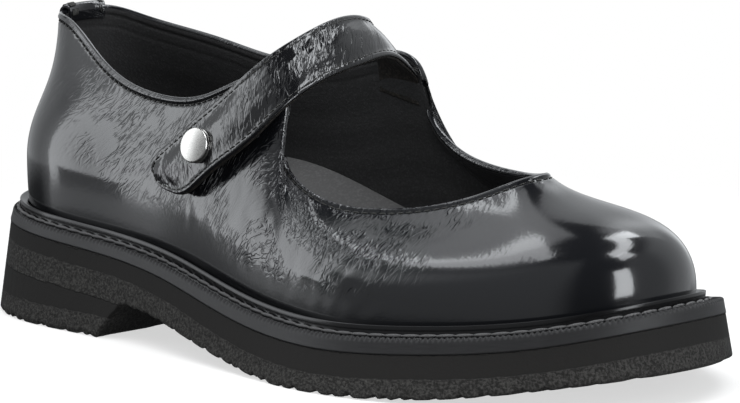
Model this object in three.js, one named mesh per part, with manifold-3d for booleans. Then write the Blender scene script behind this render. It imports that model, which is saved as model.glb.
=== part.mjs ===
// Mary jane shoe for the right foot: a patent leather upper on a stitched welt
// and a thick foam sole, closed by one strap with a snap on the outer side.
// Millimetres, +Z up, toe towards +X, inner side of the foot towards +Y.
// The last is described first, in its own plan (x = 0 at the back of the heel),
// and every leather or rubber piece is a closed loft worked out from it.

import * as THREE from "three";
import * as BufferGeometryUtils from "three/addons/utils/BufferGeometryUtils.js";
import Module from "manifold-3d";

const wasm = await Module();
wasm.setup();

// ---------------------------------------------------------------- sizes
const GAP = 0.3;              // between pieces that touch
const WALL = 2.0;             // upper with its lining
const ROUND_STATIONS = 96;    // lofts round the shoe
const WALL_ROWS = 11;         // rows from the lasting edge to the topline
const LOW_SHARE = 0.3;        // share of the rows below the widest line
const TUCK = 1.2;             // how far the lasting edge turns in

const LASTING_DROP = 4.7;     // lasting edge below the top of the welt
const WELT_OUT = 7.0;         // welt edge outside the ledge line
const BAND_OUT = 8.0;         // foot of the welt's side band
const BAND_HEIGHT = 5.0;
const RIB_HEIGHT = 3.1;
const RIB_WIDTH = 2.6;

const GROUND_OUT = 11.6;      // sole outline on the ground, outside the ledge line
const BREAST_X = 60;          // heel breast at the ground
const BREAST_TOP_X = 71;      // heel breast under the waist
const BREAST_BEND = [66, 7.4];
const FLAT_FROM = 149;        // the forepart's flat spot on the ground
const FLAT_TO = 167;
const TREAD_DEPTH = 1.4;      // grooves across the underside
const TREAD_WIDTH = 2.6;
const TREAD_PITCH = 8.5;
const TREAD_FROM = 112;
const TREAD_TO = 256;

const FOOTBED_RISE = 8.0;     // footbed edge above the top of the welt
const ARCH_RISE = 13.2;       // more at the arch, on the inner side
const ARCH_AT = 18.1;         // section that the arch is highest at
const ARCH_WIDTH = 2.3;
const TOE_FALL = 3.5;         // less towards the toe
const TOE_AT = 11;
const TOE_WIDTH = 3.2;
const FOOTBED_ROOM = 0.4;     // more room to the lining than the usual gap
const FOOTBED_CUP = 2.5;      // the middle lies lower than the edge
const FOOTBED_FLOOR = 6.0;    // height that a raised edge sinks to in the middle
const FOOTBED_SINK = 0.55;    // share of the way that it sinks

const STRAP_THICK = 2.2;
const STRAP_ROUND = 0.45;     // rounding of the strap's edges
const SNAP_HOLE = 1.9;        // radius of the hole for the snap's post
const CAP_RADIUS = 5.4;
const CAP_HEIGHT = 2.5;

// Middle of the sole's plan in the last's own plan: the part stands centred on it.
const PLAN_CENTRE = [124.7, -3.6];

// Sections round the last, from the back of the heel along the outer side to
// the toe and back along the inner side.
//   x, y    the ledge line, where the upper meets the welt
//   foot    the upper's foot outside (+) or inside (-) that line
//   bulge   the widest line outside the foot
//   belly   height of the widest line above the top of the welt
//   full    length of the upright tangent above the widest line
//   drop    length of the tangent below the topline, lean its angle from upright
const SECTIONS = [
  { x:   0, y:   0.0, foot:  2.0, bulge: 0.8, belly: 15.0, full: 18, drop: 22, lean:  4 }, // heel
  { x:   7, y: -21.3, foot:  1.6, bulge: 1.0, belly: 16.0, full: 18, drop: 20, lean:  5 },
  { x:  27, y: -32.3, foot:  0.8, bulge: 1.2, belly: 17.0, full: 16, drop: 14, lean:  8 },
  { x:  55, y: -34.3, foot:  0.2, bulge: 1.2, belly: 17.0, full: 10, drop: 12, lean: 12 },
  { x:  85, y: -38.0, foot:  0.0, bulge: 1.2, belly: 17.0, full: 10, drop: 12, lean: 14 }, // waist
  { x: 115, y: -43.5, foot:  0.0, bulge: 1.2, belly: 16.0, full: 10, drop: 14, lean: 16 },
  { x: 145, y: -48.4, foot:  0.0, bulge: 1.2, belly: 14.0, full:  9, drop: 12, lean: 28 },
  { x: 172, y: -50.2, foot:  0.0, bulge: 1.0, belly: 13.0, full:  8, drop:  9, lean: 48 }, // ball
  { x: 200, y: -43.0, foot: -0.1, bulge: 0.8, belly: 10.0, full: 12, drop: 15, lean: 59 },
  { x: 226, y: -31.6, foot: -0.5, bulge: 0.5, belly:  6.5, full: 18, drop: 20, lean: 61 },
  { x: 244, y: -17.0, foot: -0.8, bulge: 0.3, belly:  4.0, full: 25, drop: 20, lean: 60 },
  { x: 251, y:   3.0, foot: -1.2, bulge: 0.2, belly:  3.5, full: 28, drop: 19, lean: 54 }, // toe
  { x: 246, y:  22.0, foot: -1.2, bulge: 0.2, belly:  3.5, full: 28, drop: 19, lean: 54 },
  { x: 229, y:  36.0, foot: -0.9, bulge: 0.4, belly:  5.0, full: 22, drop: 17, lean: 54 },
  { x: 203, y:  43.0, foot: -0.3, bulge: 0.8, belly:  8.0, full: 16, drop: 18, lean: 61 },
  { x: 175, y:  42.0, foot:  0.0, bulge: 1.0, belly: 13.0, full: 10, drop: 12, lean: 26 }, // ball
  { x: 145, y:  36.0, foot:  0.0, bulge: 1.2, belly: 15.0, full: 10, drop: 13, lean: 12 },
  { x: 115, y:  30.0, foot:  0.0, bulge: 1.5, belly: 17.0, full: 10, drop: 14, lean: 10 }, // arch
  { x:  85, y:  28.5, foot:  0.0, bulge: 1.5, belly: 18.0, full: 10, drop: 14, lean:  8 },
  { x:  55, y:  30.0, foot:  0.2, bulge: 1.2, belly: 17.0, full: 10, drop: 14, lean:  8 },
  { x:  27, y:  28.5, foot:  0.8, bulge: 1.2, belly: 17.0, full: 14, drop: 16, lean:  8 },
  { x:   7, y:  18.5, foot:  1.6, bulge: 1.0, belly: 16.0, full: 16, drop: 20, lean:  5 },
];

// Landmarks of the topline in the same order. springs is the section, counted
// from 0 at the heel, that the wall under the landmark rises from.
const TOPLINE = [
  { springs:  0.0,  x:   4.0, y:   1.0, z: 93.5 }, // back of the collar
  { springs:  0.5,  x:   8.5, y: -12.0, z: 93.0 },
  { springs:  1.0,  x:  16.0, y: -16.0, z: 92.3 },
  { springs:  1.5,  x:  25.5, y: -19.0, z: 88.8 },
  { springs:  2.0,  x:  36.0, y: -22.5, z: 83.8 },
  { springs:  2.75, x:  54.0, y: -27.5, z: 77.6 },
  { springs:  3.5,  x:  72.0, y: -30.3, z: 75.2 }, // dip under the ankle
  { springs:  4.2,  x:  90.0, y: -31.8, z: 76.4 },
  { springs:  4.65, x: 104.0, y: -32.4, z: 81.4 },
  { springs:  5.0,  x: 114.5, y: -32.2, z: 85.7 },
  { springs:  5.25, x: 122.0, y: -31.4, z: 87.2 }, // tab under the strap
  { springs:  5.5,  x: 128.3, y: -30.8, z: 84.8 },
  { springs:  5.75, x: 129.6, y: -30.8, z: 78.0 },
  { springs:  6.0,  x: 128.8, y: -32.4, z: 68.7 },
  { springs:  6.25, x: 131.2, y: -34.9, z: 61.8 },
  { springs:  6.55, x: 138.8, y: -36.5, z: 56.4 },
  { springs:  6.95, x: 150.7, y: -35.5, z: 51.8 },
  { springs:  7.5,  x: 164.1, y: -29.4, z: 50.4 }, // lowest point of the throat
  { springs:  8.2,  x: 179.3, y: -18.6, z: 52.2 },
  { springs:  9.1,  x: 191.0, y:  -9.4, z: 56.4 },
  { springs: 10.1,  x: 198.3, y:  -2.2, z: 60.1 },
  { springs: 11.1,  x: 200.3, y:   5.0, z: 61.0 }, // front of the throat
  { springs: 12.2,  x: 192.8, y:  12.8, z: 59.2 },
  { springs: 13.2,  x: 175.0, y:  20.8, z: 57.2 },
  { springs: 14.1,  x: 154.5, y:  25.2, z: 58.2 },
  { springs: 14.75, x: 141.5, y:  28.0, z: 61.8 },
  { springs: 15.3,  x: 133.5, y:  29.0, z: 68.5 },
  { springs: 15.75, x: 131.2, y:  28.8, z: 77.0 },
  { springs: 16.15, x: 128.3, y:  28.0, z: 84.6 },
  { springs: 16.55, x: 120.0, y:  27.4, z: 87.6 }, // root of the strap
  { springs: 17.1,  x: 107.0, y:  26.9, z: 85.2 },
  { springs: 17.8,  x:  88.0, y:  26.0, z: 81.2 },
  { springs: 18.7,  x:  66.0, y:  24.5, z: 81.8 },
  { springs: 19.5,  x:  46.0, y:  23.2, z: 85.3 },
  { springs: 20.1,  x:  31.0, y:  20.8, z: 87.8 },
  { springs: 20.7,  x:  18.0, y:  17.8, z: 90.3 },
  { springs: 21.4,  x:   8.2, y:  12.0, z: 93.1 },
];

// Side view of the top of the welt, and of the forepart's underside.
const SEAT_LINE = [
  { x: -15, z: 33.3 }, { x:   0, z: 32.8 }, { x:  50, z: 29.9 }, { x:  90, z: 26.6 },
  { x: 130, z: 19.5 }, { x: 165, z: 17.45 }, { x: 200, z: 19.1 }, { x: 230, z: 22.65 },
  { x: 265, z: 31.0 },
];
const TREAD_LINE = [
  { x:  71, z: 11.6 }, { x: 84, z: 10.6 }, { x: 98, z: 8.1 }, { x: 113, z: 5.1 },
  { x: 128, z: 2.5 }, { x: 150, z: 0.0 }, { x: 165, z: 0.0 }, { x: 190, z: 0.6 },
  { x: 215, z: 2.9 }, { x: 240, z: 7.0 }, { x: 268, z: 11.8 },
];

// The strap from its free tip on the outer side, over the instep, to its sewn
// root inside the inner quarter: its outer face between a back and a front edge.
// from and to are the shares of the width kept, which round the tip.
const STRAP = [
  { back: [ 79.0, -41.2,  57.2], front: [ 90.4, -44.8,  42.4], from: 0.16, to: 0.42 },
  { back: [ 80.4, -41.2,  58.3], front: [ 91.8, -45.0,  43.5], from: 0.04, to: 0.58 },
  { back: [ 83.2, -41.1,  60.6], front: [ 94.6, -45.3,  45.7], from: 0.00, to: 0.78 },
  { back: [ 88.2, -40.9,  64.3], front: [ 99.6, -45.7,  49.6], from: 0.00, to: 0.97 },
  { back: [ 97.4, -40.5,  71.3], front: [109.0, -46.1,  57.0], from: 0.00, to: 1.00 },
  { back: [106.6, -39.5,  78.3], front: [118.0, -45.1,  63.4], from: 0.00, to: 1.00 },
  { back: [114.5, -38.0,  85.0], front: [125.5, -43.2,  69.4], from: 0.00, to: 1.00 },
  { back: [120.6, -34.4,  91.2], front: [131.4, -39.8,  76.2], from: 0.00, to: 1.00 },
  { back: [123.8, -27.2,  95.9], front: [134.6, -32.6,  81.7], from: 0.00, to: 1.00 },
  { back: [125.3, -17.0,  99.8], front: [135.8, -22.5,  85.9], from: 0.00, to: 1.00 },
  { back: [125.7,  -7.5, 102.1], front: [136.5, -12.5,  88.4], from: 0.00, to: 1.00 },
  { back: [124.7,   2.0, 102.3], front: [136.2,  -2.5,  90.0], from: 0.00, to: 1.00 },
  { back: [122.6,  10.0, 100.6], front: [134.6,   6.5,  90.4], from: 0.00, to: 1.00 },
  { back: [118.0,  16.8,  97.4], front: [132.2,  14.5,  88.8], from: 0.00, to: 1.00 },
  { back: [114.4,  21.8,  91.6], front: [130.1,  20.8,  85.0], from: 0.00, to: 1.00 },
  { back: [112.8,  24.6,  83.4], front: [128.6,  25.2,  79.2], from: 0.00, to: 1.00 },
  { back: [112.2,  25.9,  75.0], front: [128.0,  27.0,  71.6], from: 0.00, to: 1.00 },
];
const STRAP_STEPS = 3;        // loft steps between two rows of the strap
const SNAP_ROW = 4.03;        // where the snap sits along the strap

// ---------------------------------------------------------------- curves

/** Solves a small linear system by elimination. */
function solve(matrix, right) {
  const size = right.length;
  for (let pivot = 0; pivot < size; pivot += 1) {
    for (let row = pivot + 1; row < size; row += 1) {
      const factor = matrix[row][pivot] / matrix[pivot][pivot];
      if (factor === 0) continue;
      for (let k = pivot; k < size; k += 1) matrix[row][k] -= factor * matrix[pivot][k];
      right[row] -= factor * right[pivot];
    }
  }
  for (let row = size - 1; row >= 0; row -= 1) {
    for (let k = row + 1; k < size; k += 1) right[row] -= matrix[row][k] * right[k];
    right[row] /= matrix[row][row];
  }
  return right;
}

/** Cubic between two knots with given slopes. */
function hermite(share, step, from, slopeFrom, to, slopeTo) {
  const s2 = share * share;
  const s3 = s2 * share;
  return (2 * s3 - 3 * s2 + 1) * from + (s3 - 2 * s2 + share) * step * slopeFrom
    + (3 * s2 - 2 * s3) * to + (s3 - s2) * step * slopeTo;
}

/** Smooth closed curve through values at rising knots, repeating after period. */
function closedCurve(knots, values, period) {
  const n = knots.length;
  const steps = knots.map((knot, i) => (i + 1 < n ? knots[i + 1] : knots[0] + period) - knot);
  const matrix = knots.map(() => new Array(n).fill(0));
  const right = knots.map((_, i) => {
    const before = (i + n - 1) % n;
    const after = (i + 1) % n;
    matrix[i][before] += steps[i];
    matrix[i][i] += 2 * (steps[before] + steps[i]);
    matrix[i][after] += steps[before];
    return 3 * (steps[i] * (values[i] - values[before]) / steps[before]
      + steps[before] * (values[after] - values[i]) / steps[i]);
  });
  const slopes = solve(matrix, right);
  return (at) => {
    const t = ((at - knots[0]) % period + period) % period + knots[0];
    let i = n - 1;
    while (i > 0 && knots[i] > t) i -= 1;
    const j = (i + 1) % n;
    return hermite((t - knots[i]) / steps[i], steps[i], values[i], slopes[i], values[j], slopes[j]);
  };
}

/** Smooth open curve through values at rising knots, straight at its ends. */
function openCurve(knots, values) {
  const n = knots.length;
  const steps = knots.slice(1).map((knot, i) => knot - knots[i]);
  const rise = steps.map((step, i) => (values[i + 1] - values[i]) / step);
  const matrix = knots.map(() => new Array(n).fill(0));
  const right = knots.map((_, i) => {
    if (i === 0) {
      matrix[0][0] = 2;
      matrix[0][1] = 1;
      return 3 * rise[0];
    }
    if (i === n - 1) {
      matrix[i][i] = 2;
      matrix[i][i - 1] = 1;
      return 3 * rise[n - 2];
    }
    matrix[i][i - 1] = steps[i];
    matrix[i][i] = 2 * (steps[i - 1] + steps[i]);
    matrix[i][i + 1] = steps[i - 1];
    return 3 * (steps[i] * rise[i - 1] + steps[i - 1] * rise[i]);
  });
  const slopes = solve(matrix, right);
  return (at) => {
    const t = Math.min(Math.max(at, knots[0]), knots[n - 1]);
    let i = n - 2;
    while (i > 0 && knots[i] > t) i -= 1;
    return hermite((t - knots[i]) / steps[i], steps[i],
      values[i], slopes[i], values[i + 1], slopes[i + 1]);
  };
}

// ---------------------------------------------------------------- the last

const SECTION_COUNT = SECTIONS.length;
const sectionKnots = SECTIONS.map((_, i) => i);
const section = {};
for (const column of ["x", "y", "foot", "bulge", "belly", "full", "drop", "lean"]) {
  section[column] = closedCurve(sectionKnots, SECTIONS.map((row) => row[column]), SECTION_COUNT);
}

const seatAt = openCurve(SEAT_LINE.map((row) => row.x), SEAT_LINE.map((row) => row.z));
const treadAt = openCurve(TREAD_LINE.map((row) => row.x), TREAD_LINE.map((row) => row.z));

const toplineKnots = [0];
for (let i = 1; i <= TOPLINE.length; i += 1) {
  const a = TOPLINE[i - 1];
  const b = TOPLINE[i % TOPLINE.length];
  toplineKnots.push(toplineKnots[i - 1] + Math.hypot(b.x - a.x, b.y - a.y, b.z - a.z));
}
const TOPLINE_LENGTH = toplineKnots.pop();
const topline = {};
for (const axis of ["x", "y", "z"]) {
  topline[axis] = closedCurve(toplineKnots, TOPLINE.map((row) => row[axis]), TOPLINE_LENGTH);
}
const turnRate = SECTION_COUNT / TOPLINE_LENGTH;
const springDrift = closedCurve(
  toplineKnots, TOPLINE.map((row, i) => row.springs - turnRate * toplineKnots[i]), TOPLINE_LENGTH);

/** Section number that the wall under a point of the topline rises from. */
const springsAt = (along) => springDrift(along) + turnRate * along;

/** Point of the plan at a distance outside the ledge line. */
function planPoint(at, outside) {
  const step = 1e-3;
  const dx = section.x(at + step) - section.x(at - step);
  const dy = section.y(at + step) - section.y(at - step);
  const length = Math.hypot(dx, dy);
  return [section.x(at) + outside * dy / length, section.y(at) - outside * dx / length];
}

/** How far the upper's outer face stands outside the ledge line, low on the wall. */
function wallOutside(at, aboveWelt) {
  const rise = section.belly(at) + LASTING_DROP;
  const turn = Math.acos(Math.max(0, 1 - (aboveWelt + LASTING_DROP) / rise));
  return section.foot(at) - TUCK + (section.bulge(at) + TUCK) * Math.sin(turn);
}

/** Outer face of the upper: along the topline, and up the wall from 0 to 1. */
function upperPoint(along, up) {
  const at = springsAt(along);
  const base = seatAt(section.x(at));
  const belly = section.belly(at);
  if (up < LOW_SHARE) {
    const turn = up / LOW_SHARE * Math.PI / 2;
    const outside = section.foot(at) - TUCK + (section.bulge(at) + TUCK) * Math.sin(turn);
    const [x, y] = planPoint(at, outside);
    const z = base - LASTING_DROP + (belly + LASTING_DROP) * (1 - Math.cos(turn));
    return new THREE.Vector3(x, y, z);
  }
  const [x, y] = planPoint(at, section.foot(at) + section.bulge(at));
  const widest = new THREE.Vector3(x, y, base + belly);
  const top = new THREE.Vector3(topline.x(along), topline.y(along), topline.z(along));
  const inward = new THREE.Vector3(top.x - x, top.y - y, 0).normalize();
  const lean = THREE.MathUtils.degToRad(section.lean(at));
  const below = inward.multiplyScalar(Math.sin(lean));
  below.z = Math.cos(lean);
  const wall = new THREE.CubicBezierCurve3(
    widest,
    new THREE.Vector3(x, y, base + belly + section.full(at)),
    top.clone().addScaledVector(below, -section.drop(at)),
    top);
  return wall.getPoint((up - LOW_SHARE) / (1 - LOW_SHARE));
}

/** Outward direction of the upper's outer face. */
function upperNormal(along, up) {
  const step = 0.4;
  const rise = 0.01;
  const high = Math.min(up + rise, 1);
  const low = Math.max(up - rise, 0);
  const round = upperPoint(along + step, up).sub(upperPoint(along - step, up));
  const climb = upperPoint(along, high).sub(upperPoint(along, low));
  return round.cross(climb).normalize();
}

/** Places along the topline, spread evenly over the topline and the foot together. */
function evenStations(count) {
  const fine = 1200;
  const sums = [0];
  for (let i = 0; i < fine; i += 1) {
    const from = i / fine * TOPLINE_LENGTH;
    const to = (i + 1) / fine * TOPLINE_LENGTH;
    const high = upperPoint(from, 1).distanceTo(upperPoint(to, 1));
    const low = upperPoint(from, 0).distanceTo(upperPoint(to, 0));
    sums.push(sums[i] + high + low);
  }
  const stations = [];
  let i = 0;
  for (let k = 0; k < count; k += 1) {
    const target = k / count * sums[fine];
    while (sums[i + 1] < target) i += 1;
    const share = (target - sums[i]) / (sums[i + 1] - sums[i]);
    stations.push((i + share) / fine * TOPLINE_LENGTH);
  }
  return stations;
}
const STATIONS = evenStations(ROUND_STATIONS);

// ---------------------------------------------------------------- solids

/** Faceted geometry from points and triangles, centred on the sole's plan. */
function facets(points, triangles) {
  const geometry = new THREE.BufferGeometry();
  const flat = points.flatMap((p) => [p.x - PLAN_CENTRE[0], p.y - PLAN_CENTRE[1], p.z]);
  geometry.setAttribute("position", new THREE.Float32BufferAttribute(flat, 3));
  geometry.setIndex(triangles);
  return geometry;
}

/** Closed ring: every station has the same closed loop of points. */
function ringLoft(loops) {
  const across = loops[0].length;
  const triangles = [];
  for (let i = 0; i < loops.length; i += 1) {
    const next = (i + 1) % loops.length;
    for (let j = 0; j < across; j += 1) {
      const k = (j + 1) % across;
      const a = i * across + j;
      const b = next * across + j;
      const c = next * across + k;
      const d = i * across + k;
      triangles.push(a, b, c, a, c, d);
    }
  }
  return facets(loops.flat(), triangles);
}

/**
 * Closed bar: loops of the same even count, one after the other. A flat end
 * joins each point of its loop to the one as far from the loop's other end.
 */
function barLoft(loops) {
  const across = loops[0].length;
  const triangles = [];
  for (let i = 0; i + 1 < loops.length; i += 1) {
    for (let j = 0; j < across; j += 1) {
      const k = (j + 1) % across;
      const a = i * across + j;
      const b = (i + 1) * across + j;
      const c = (i + 1) * across + k;
      const d = i * across + k;
      triangles.push(a, b, c, a, c, d);
    }
  }
  const last = (loops.length - 1) * across;
  for (let j = 0; j + 1 < across / 2; j += 1) {
    const far = across - 1 - j;
    triangles.push(j, j + 1, far - 1, j, far - 1, far);
    triangles.push(last + j, last + far - 1, last + j + 1, last + j, last + far, last + far - 1);
  }
  return facets(loops.flat(), triangles);
}

/**
 * Closed plate over the whole foot: rim points run from the heel round the
 * outer side to the toe and back, levels of the rim from the bottom to the top.
 * Each cap is a grid between the outer and the inner side.
 */
function plateLoft(levels, capHeight, across) {
  const count = levels[0].length;
  const half = count / 2;
  const points = levels.flat();
  const triangles = [];
  for (let level = 0; level + 1 < levels.length; level += 1) {
    for (let i = 0; i < count; i += 1) {
      const k = (i + 1) % count;
      const a = level * count + i;
      const b = level * count + k;
      triangles.push(a, b, b + count, a, b + count, a + count);
    }
  }
  const cap = (level, faceUp) => {
    const rows = [];
    for (let i = 1; i < half; i += 1) {
      const outer = levels[level][i];
      const inner = levels[level][count - i];
      const row = [level * count + i];
      for (let j = 1; j < across; j += 1) {
        const p = outer.clone().lerp(inner, j / across);
        p.z = capHeight(faceUp, p, j / across, outer.z + (inner.z - outer.z) * j / across);
        row.push(points.push(p) - 1);
      }
      row.push(level * count + count - i);
      rows.push(row);
    }
    const add = (a, b, c) => (faceUp ? triangles.push(a, b, c) : triangles.push(a, c, b));
    const heel = level * count;
    const toe = level * count + half;
    for (let j = 0; j < across; j += 1) {
      add(heel, rows[0][j], rows[0][j + 1]);
      add(toe, rows[half - 2][j + 1], rows[half - 2][j]);
    }
    for (let i = 0; i + 1 < rows.length; i += 1) {
      for (let j = 0; j < across; j += 1) {
        add(rows[i][j], rows[i + 1][j], rows[i + 1][j + 1]);
        add(rows[i][j], rows[i + 1][j + 1], rows[i][j + 1]);
      }
    }
  };
  cap(0, false);
  cap(levels.length - 1, true);
  return facets(points, triangles);
}

/** Sections spread evenly round the plan, with the heel first and the toe halfway. */
function planStations(count) {
  const walk = (from, to) => {
    const fine = 400;
    const sums = [0];
    for (let i = 0; i < fine; i += 1) {
      const [x0, y0] = planPoint(from + (to - from) * i / fine, 0);
      const [x1, y1] = planPoint(from + (to - from) * (i + 1) / fine, 0);
      sums.push(sums[i] + Math.hypot(x1 - x0, y1 - y0));
    }
    const places = [];
    let i = 0;
    for (let k = 0; k < count / 2; k += 1) {
      const target = k / (count / 2) * sums[fine];
      while (sums[i + 1] < target) i += 1;
      places.push(from + (to - from) * (i + (target - sums[i]) / (sums[i + 1] - sums[i])) / fine);
    }
    return places;
  };
  const toe = SECTION_COUNT / 2;
  return [...walk(0, toe), ...walk(toe, SECTION_COUNT)];
}

function toManifold(geometry) {
  const merged = BufferGeometryUtils.mergeVertices(geometry);
  return new wasm.Manifold(new wasm.Mesh({
    numProp: 3,
    vertProperties: new Float32Array(merged.attributes.position.array),
    triVerts: new Uint32Array(merged.index.array),
  }));
}

function fromManifold(solid) {
  const mesh = solid.getMesh();
  const geometry = new THREE.BufferGeometry();
  geometry.setAttribute("position", new THREE.BufferAttribute(mesh.vertProperties, 3));
  geometry.setIndex(new THREE.BufferAttribute(mesh.triVerts, 1));
  return geometry;
}

/** Plain solid from a three.js shape class, ready to be cut or joined. */
function bareSolid(geometry) {
  geometry.deleteAttribute("normal");
  geometry.deleteAttribute("uv");
  return toManifold(geometry);
}

// ---------------------------------------------------------------- pieces

/** Upper: one hollow wall, open at the topline and under the foot. */
function upper() {
  const loops = STATIONS.map((along) => {
    const outer = [];
    const inner = [];
    for (let row = 0; row <= WALL_ROWS; row += 1) {
      const up = row / WALL_ROWS;
      const point = upperPoint(along, up);
      const normal = upperNormal(along, up);
      outer.push(point);
      const lining = point.clone().addScaledVector(normal, -WALL);
      if (row === 0) lining.z = point.z;
      inner.unshift(lining);
    }
    const top = outer[WALL_ROWS];
    const under = outer[WALL_ROWS - 1];
    const climb = top.clone().sub(under).normalize();
    const crest = top.clone().add(inner[0]).multiplyScalar(0.5).addScaledVector(climb, WALL * 0.4);
    return [...outer, crest, ...inner];
  });
  return ringLoft(loops);
}

/** Welt: a rib against the upper, a groove for the stitches, and a side band. */
function welt() {
  const loops = STATIONS.map(springsAt).map((at) => {
    const point = (outside, above) => {
      const [x, y] = planPoint(at, outside);
      return new THREE.Vector3(x, y, seatAt(x) + above);
    };
    const inside = (above) => {
      const [x, y] = planPoint(at, wallOutside(at, above) + GAP);
      return new THREE.Vector3(x, y, seatAt(section.x(at)) + above);
    };
    const rib = wallOutside(at, RIB_HEIGHT) + GAP;
    return [
      point(BAND_OUT, -BAND_HEIGHT + GAP),
      point(WELT_OUT + 0.2, -0.8),
      point(WELT_OUT - 0.6, 0),
      point(rib + RIB_WIDTH + 0.9, -0.1),
      point(rib + RIB_WIDTH + 0.2, -0.5),
      point(rib + RIB_WIDTH - 0.2, RIB_HEIGHT - 1.1),
      point(rib + RIB_WIDTH / 2, RIB_HEIGHT + 0.2),
      inside(RIB_HEIGHT - 0.6),
      inside(1.2),
      inside(-0.8),
      inside(-2.6),
      inside(-3.9),
      inside(-LASTING_DROP),
    ];
  });
  return ringLoft(loops);
}

/** Footbed inside the upper, cupped, and raised at the arch. */
function insole() {
  const places = planStations(ROUND_STATIONS);
  const edge = (at, above) => {
    const [x, y] = planPoint(at, wallOutside(at, above) - WALL - GAP - FOOTBED_ROOM);
    return new THREE.Vector3(x, y, seatAt(section.x(at)) + above);
  };
  const rise = (at) => {
    const arch = Math.exp(-(((at - ARCH_AT) / ARCH_WIDTH) ** 2));
    const toe = Math.exp(-(((at - TOE_AT) / TOE_WIDTH) ** 2));
    return FOOTBED_RISE + ARCH_RISE * arch - TOE_FALL * toe;
  };
  const levels = [
    places.map((at) => edge(at, GAP - LASTING_DROP)),
    places.map((at) => edge(at, 0)),
    places.map((at) => edge(at, rise(at) / 2)),
    places.map((at) => edge(at, rise(at))),
  ];
  const capHeight = (faceUp, p, share, level) => {
    if (!faceUp) return seatAt(p.x) + GAP - LASTING_DROP;
    const sunk = FOOTBED_CUP + FOOTBED_SINK * (level - seatAt(p.x) - FOOTBED_FLOOR);
    return level - sunk * 4 * share * (1 - share);
  };
  return plateLoft(levels, capHeight, 6);
}

/** Foam sole: flared sides, a heel with a slanted breast, toe spring and tread. */
function outsole() {
  const places = planStations(ROUND_STATIONS);
  const ring = (share) => places.map((at) => {
    const [x, y] = planPoint(at, BAND_OUT + (GROUND_OUT - BAND_OUT) * share);
    return new THREE.Vector3(x, y, (seatAt(x) - BAND_HEIGHT) * (1 - share));
  });
  const levels = [ring(1), ring(0.5), ring(0)];
  const capHeight = (faceUp, p) => (faceUp ? seatAt(p.x) - BAND_HEIGHT : 0);
  const body = toManifold(plateLoft(levels, capHeight, 4));

  const reach = 90;
  const below = -2;
  const ahead = 285;
  const prism = (outline) => {
    const shape = new THREE.Shape(outline.map(([x, z]) => new THREE.Vector2(x - PLAN_CENTRE[0], z)));
    const geometry = new THREE.ExtrudeGeometry(shape, { depth: 2 * reach, bevelEnabled: false });
    geometry.rotateX(Math.PI / 2);
    geometry.translate(0, reach, 0);
    return bareSolid(geometry);
  };
  const under = [
    [BREAST_X, below], [BREAST_X, 0], BREAST_BEND, [BREAST_TOP_X, treadAt(BREAST_TOP_X)],
  ];
  for (let x = BREAST_TOP_X + 5; x <= ahead; x += 6) {
    const flat = x > FLAT_FROM && x < FLAT_TO;
    under.push([x, flat ? 0 : treadAt(x)]);
  }
  under.push([ahead, below]);
  let sole = body.subtract(prism(under));
  const groove = (x) => {
    const z = x < BREAST_X ? 0 : treadAt(x);
    const mouth = TREAD_WIDTH / 2;
    const root = mouth * 0.7;
    return prism([
      [x - mouth, z - 4], [x + mouth, z - 4], [x + root, z + TREAD_DEPTH], [x - root, z + TREAD_DEPTH],
    ]);
  };
  const lines = [];
  for (let x = 0; x < BREAST_X - 6; x += TREAD_PITCH) lines.push(x);
  for (let x = TREAD_FROM; x < TREAD_TO; x += TREAD_PITCH) lines.push(x);
  for (const x of lines) sole = sole.subtract(groove(x));
  return fromManifold(sole);
}

// ---------------------------------------------------------------- strap and snap

const strapKnots = STRAP.map((_, i) => i);
const strapCurve = (edge, axis) => openCurve(strapKnots, STRAP.map((row) => row[edge][axis]));
const strapEdges = {
  back: [0, 1, 2].map((axis) => strapCurve("back", axis)),
  front: [0, 1, 2].map((axis) => strapCurve("front", axis)),
};
const strapFrom = openCurve(strapKnots, STRAP.map((row) => row.from));
const strapTo = openCurve(strapKnots, STRAP.map((row) => row.to));
const strapEdge = (edge, row) => new THREE.Vector3(...strapEdges[edge].map((curve) => curve(row)));

/** Point of the strap's outer face and its outward direction there. */
function strapPlace(row, share) {
  const point = (r) => strapEdge("back", r).lerp(strapEdge("front", r), share);
  const along = point(row + 0.05).sub(point(row - 0.05)).normalize();
  const across = strapEdge("front", row).sub(strapEdge("back", row)).normalize();
  const outward = across.clone().cross(along).normalize();
  return { point: point(row), along, across, outward };
}

/** Strap: two layers of leather with round edges, and the hole of the snap. */
function strap() {
  const loops = [];
  const last = STRAP.length - 1;
  for (let step = 0; step <= last * STRAP_STEPS; step += 1) {
    const row = step / STRAP_STEPS;
    const from = Math.max(0, strapFrom(row));
    const to = Math.min(1, strapTo(row));
    const shares = [0, 0.5, 1].map((share) => from + (to - from) * share);
    const face = shares.map((share) => strapPlace(row, share));
    const sunk = (place, depth) => place.point.clone().addScaledVector(place.outward, -depth);
    const back = face[0].point.clone().addScaledVector(face[0].across, STRAP_ROUND);
    const front = face[2].point.clone().addScaledVector(face[2].across, -STRAP_ROUND);
    loops.push([
      back,
      sunk(face[0], STRAP_ROUND),
      sunk(face[0], STRAP_THICK - STRAP_ROUND),
      back.clone().addScaledVector(face[0].outward, -STRAP_THICK),
      sunk(face[1], STRAP_THICK),
      front.clone().addScaledVector(face[2].outward, -STRAP_THICK),
      sunk(face[2], STRAP_THICK - STRAP_ROUND),
      sunk(face[2], STRAP_ROUND),
      front,
      face[1].point.clone(),
    ]);
  }
  const body = toManifold(barLoft(loops));
  const hole = turned([[0, -8], [SNAP_HOLE, -8], [SNAP_HOLE, 4], [0, 4]], 16, SNAP_FRAME);
  return fromManifold(body.subtract(bareSolid(hole)));
}

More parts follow.
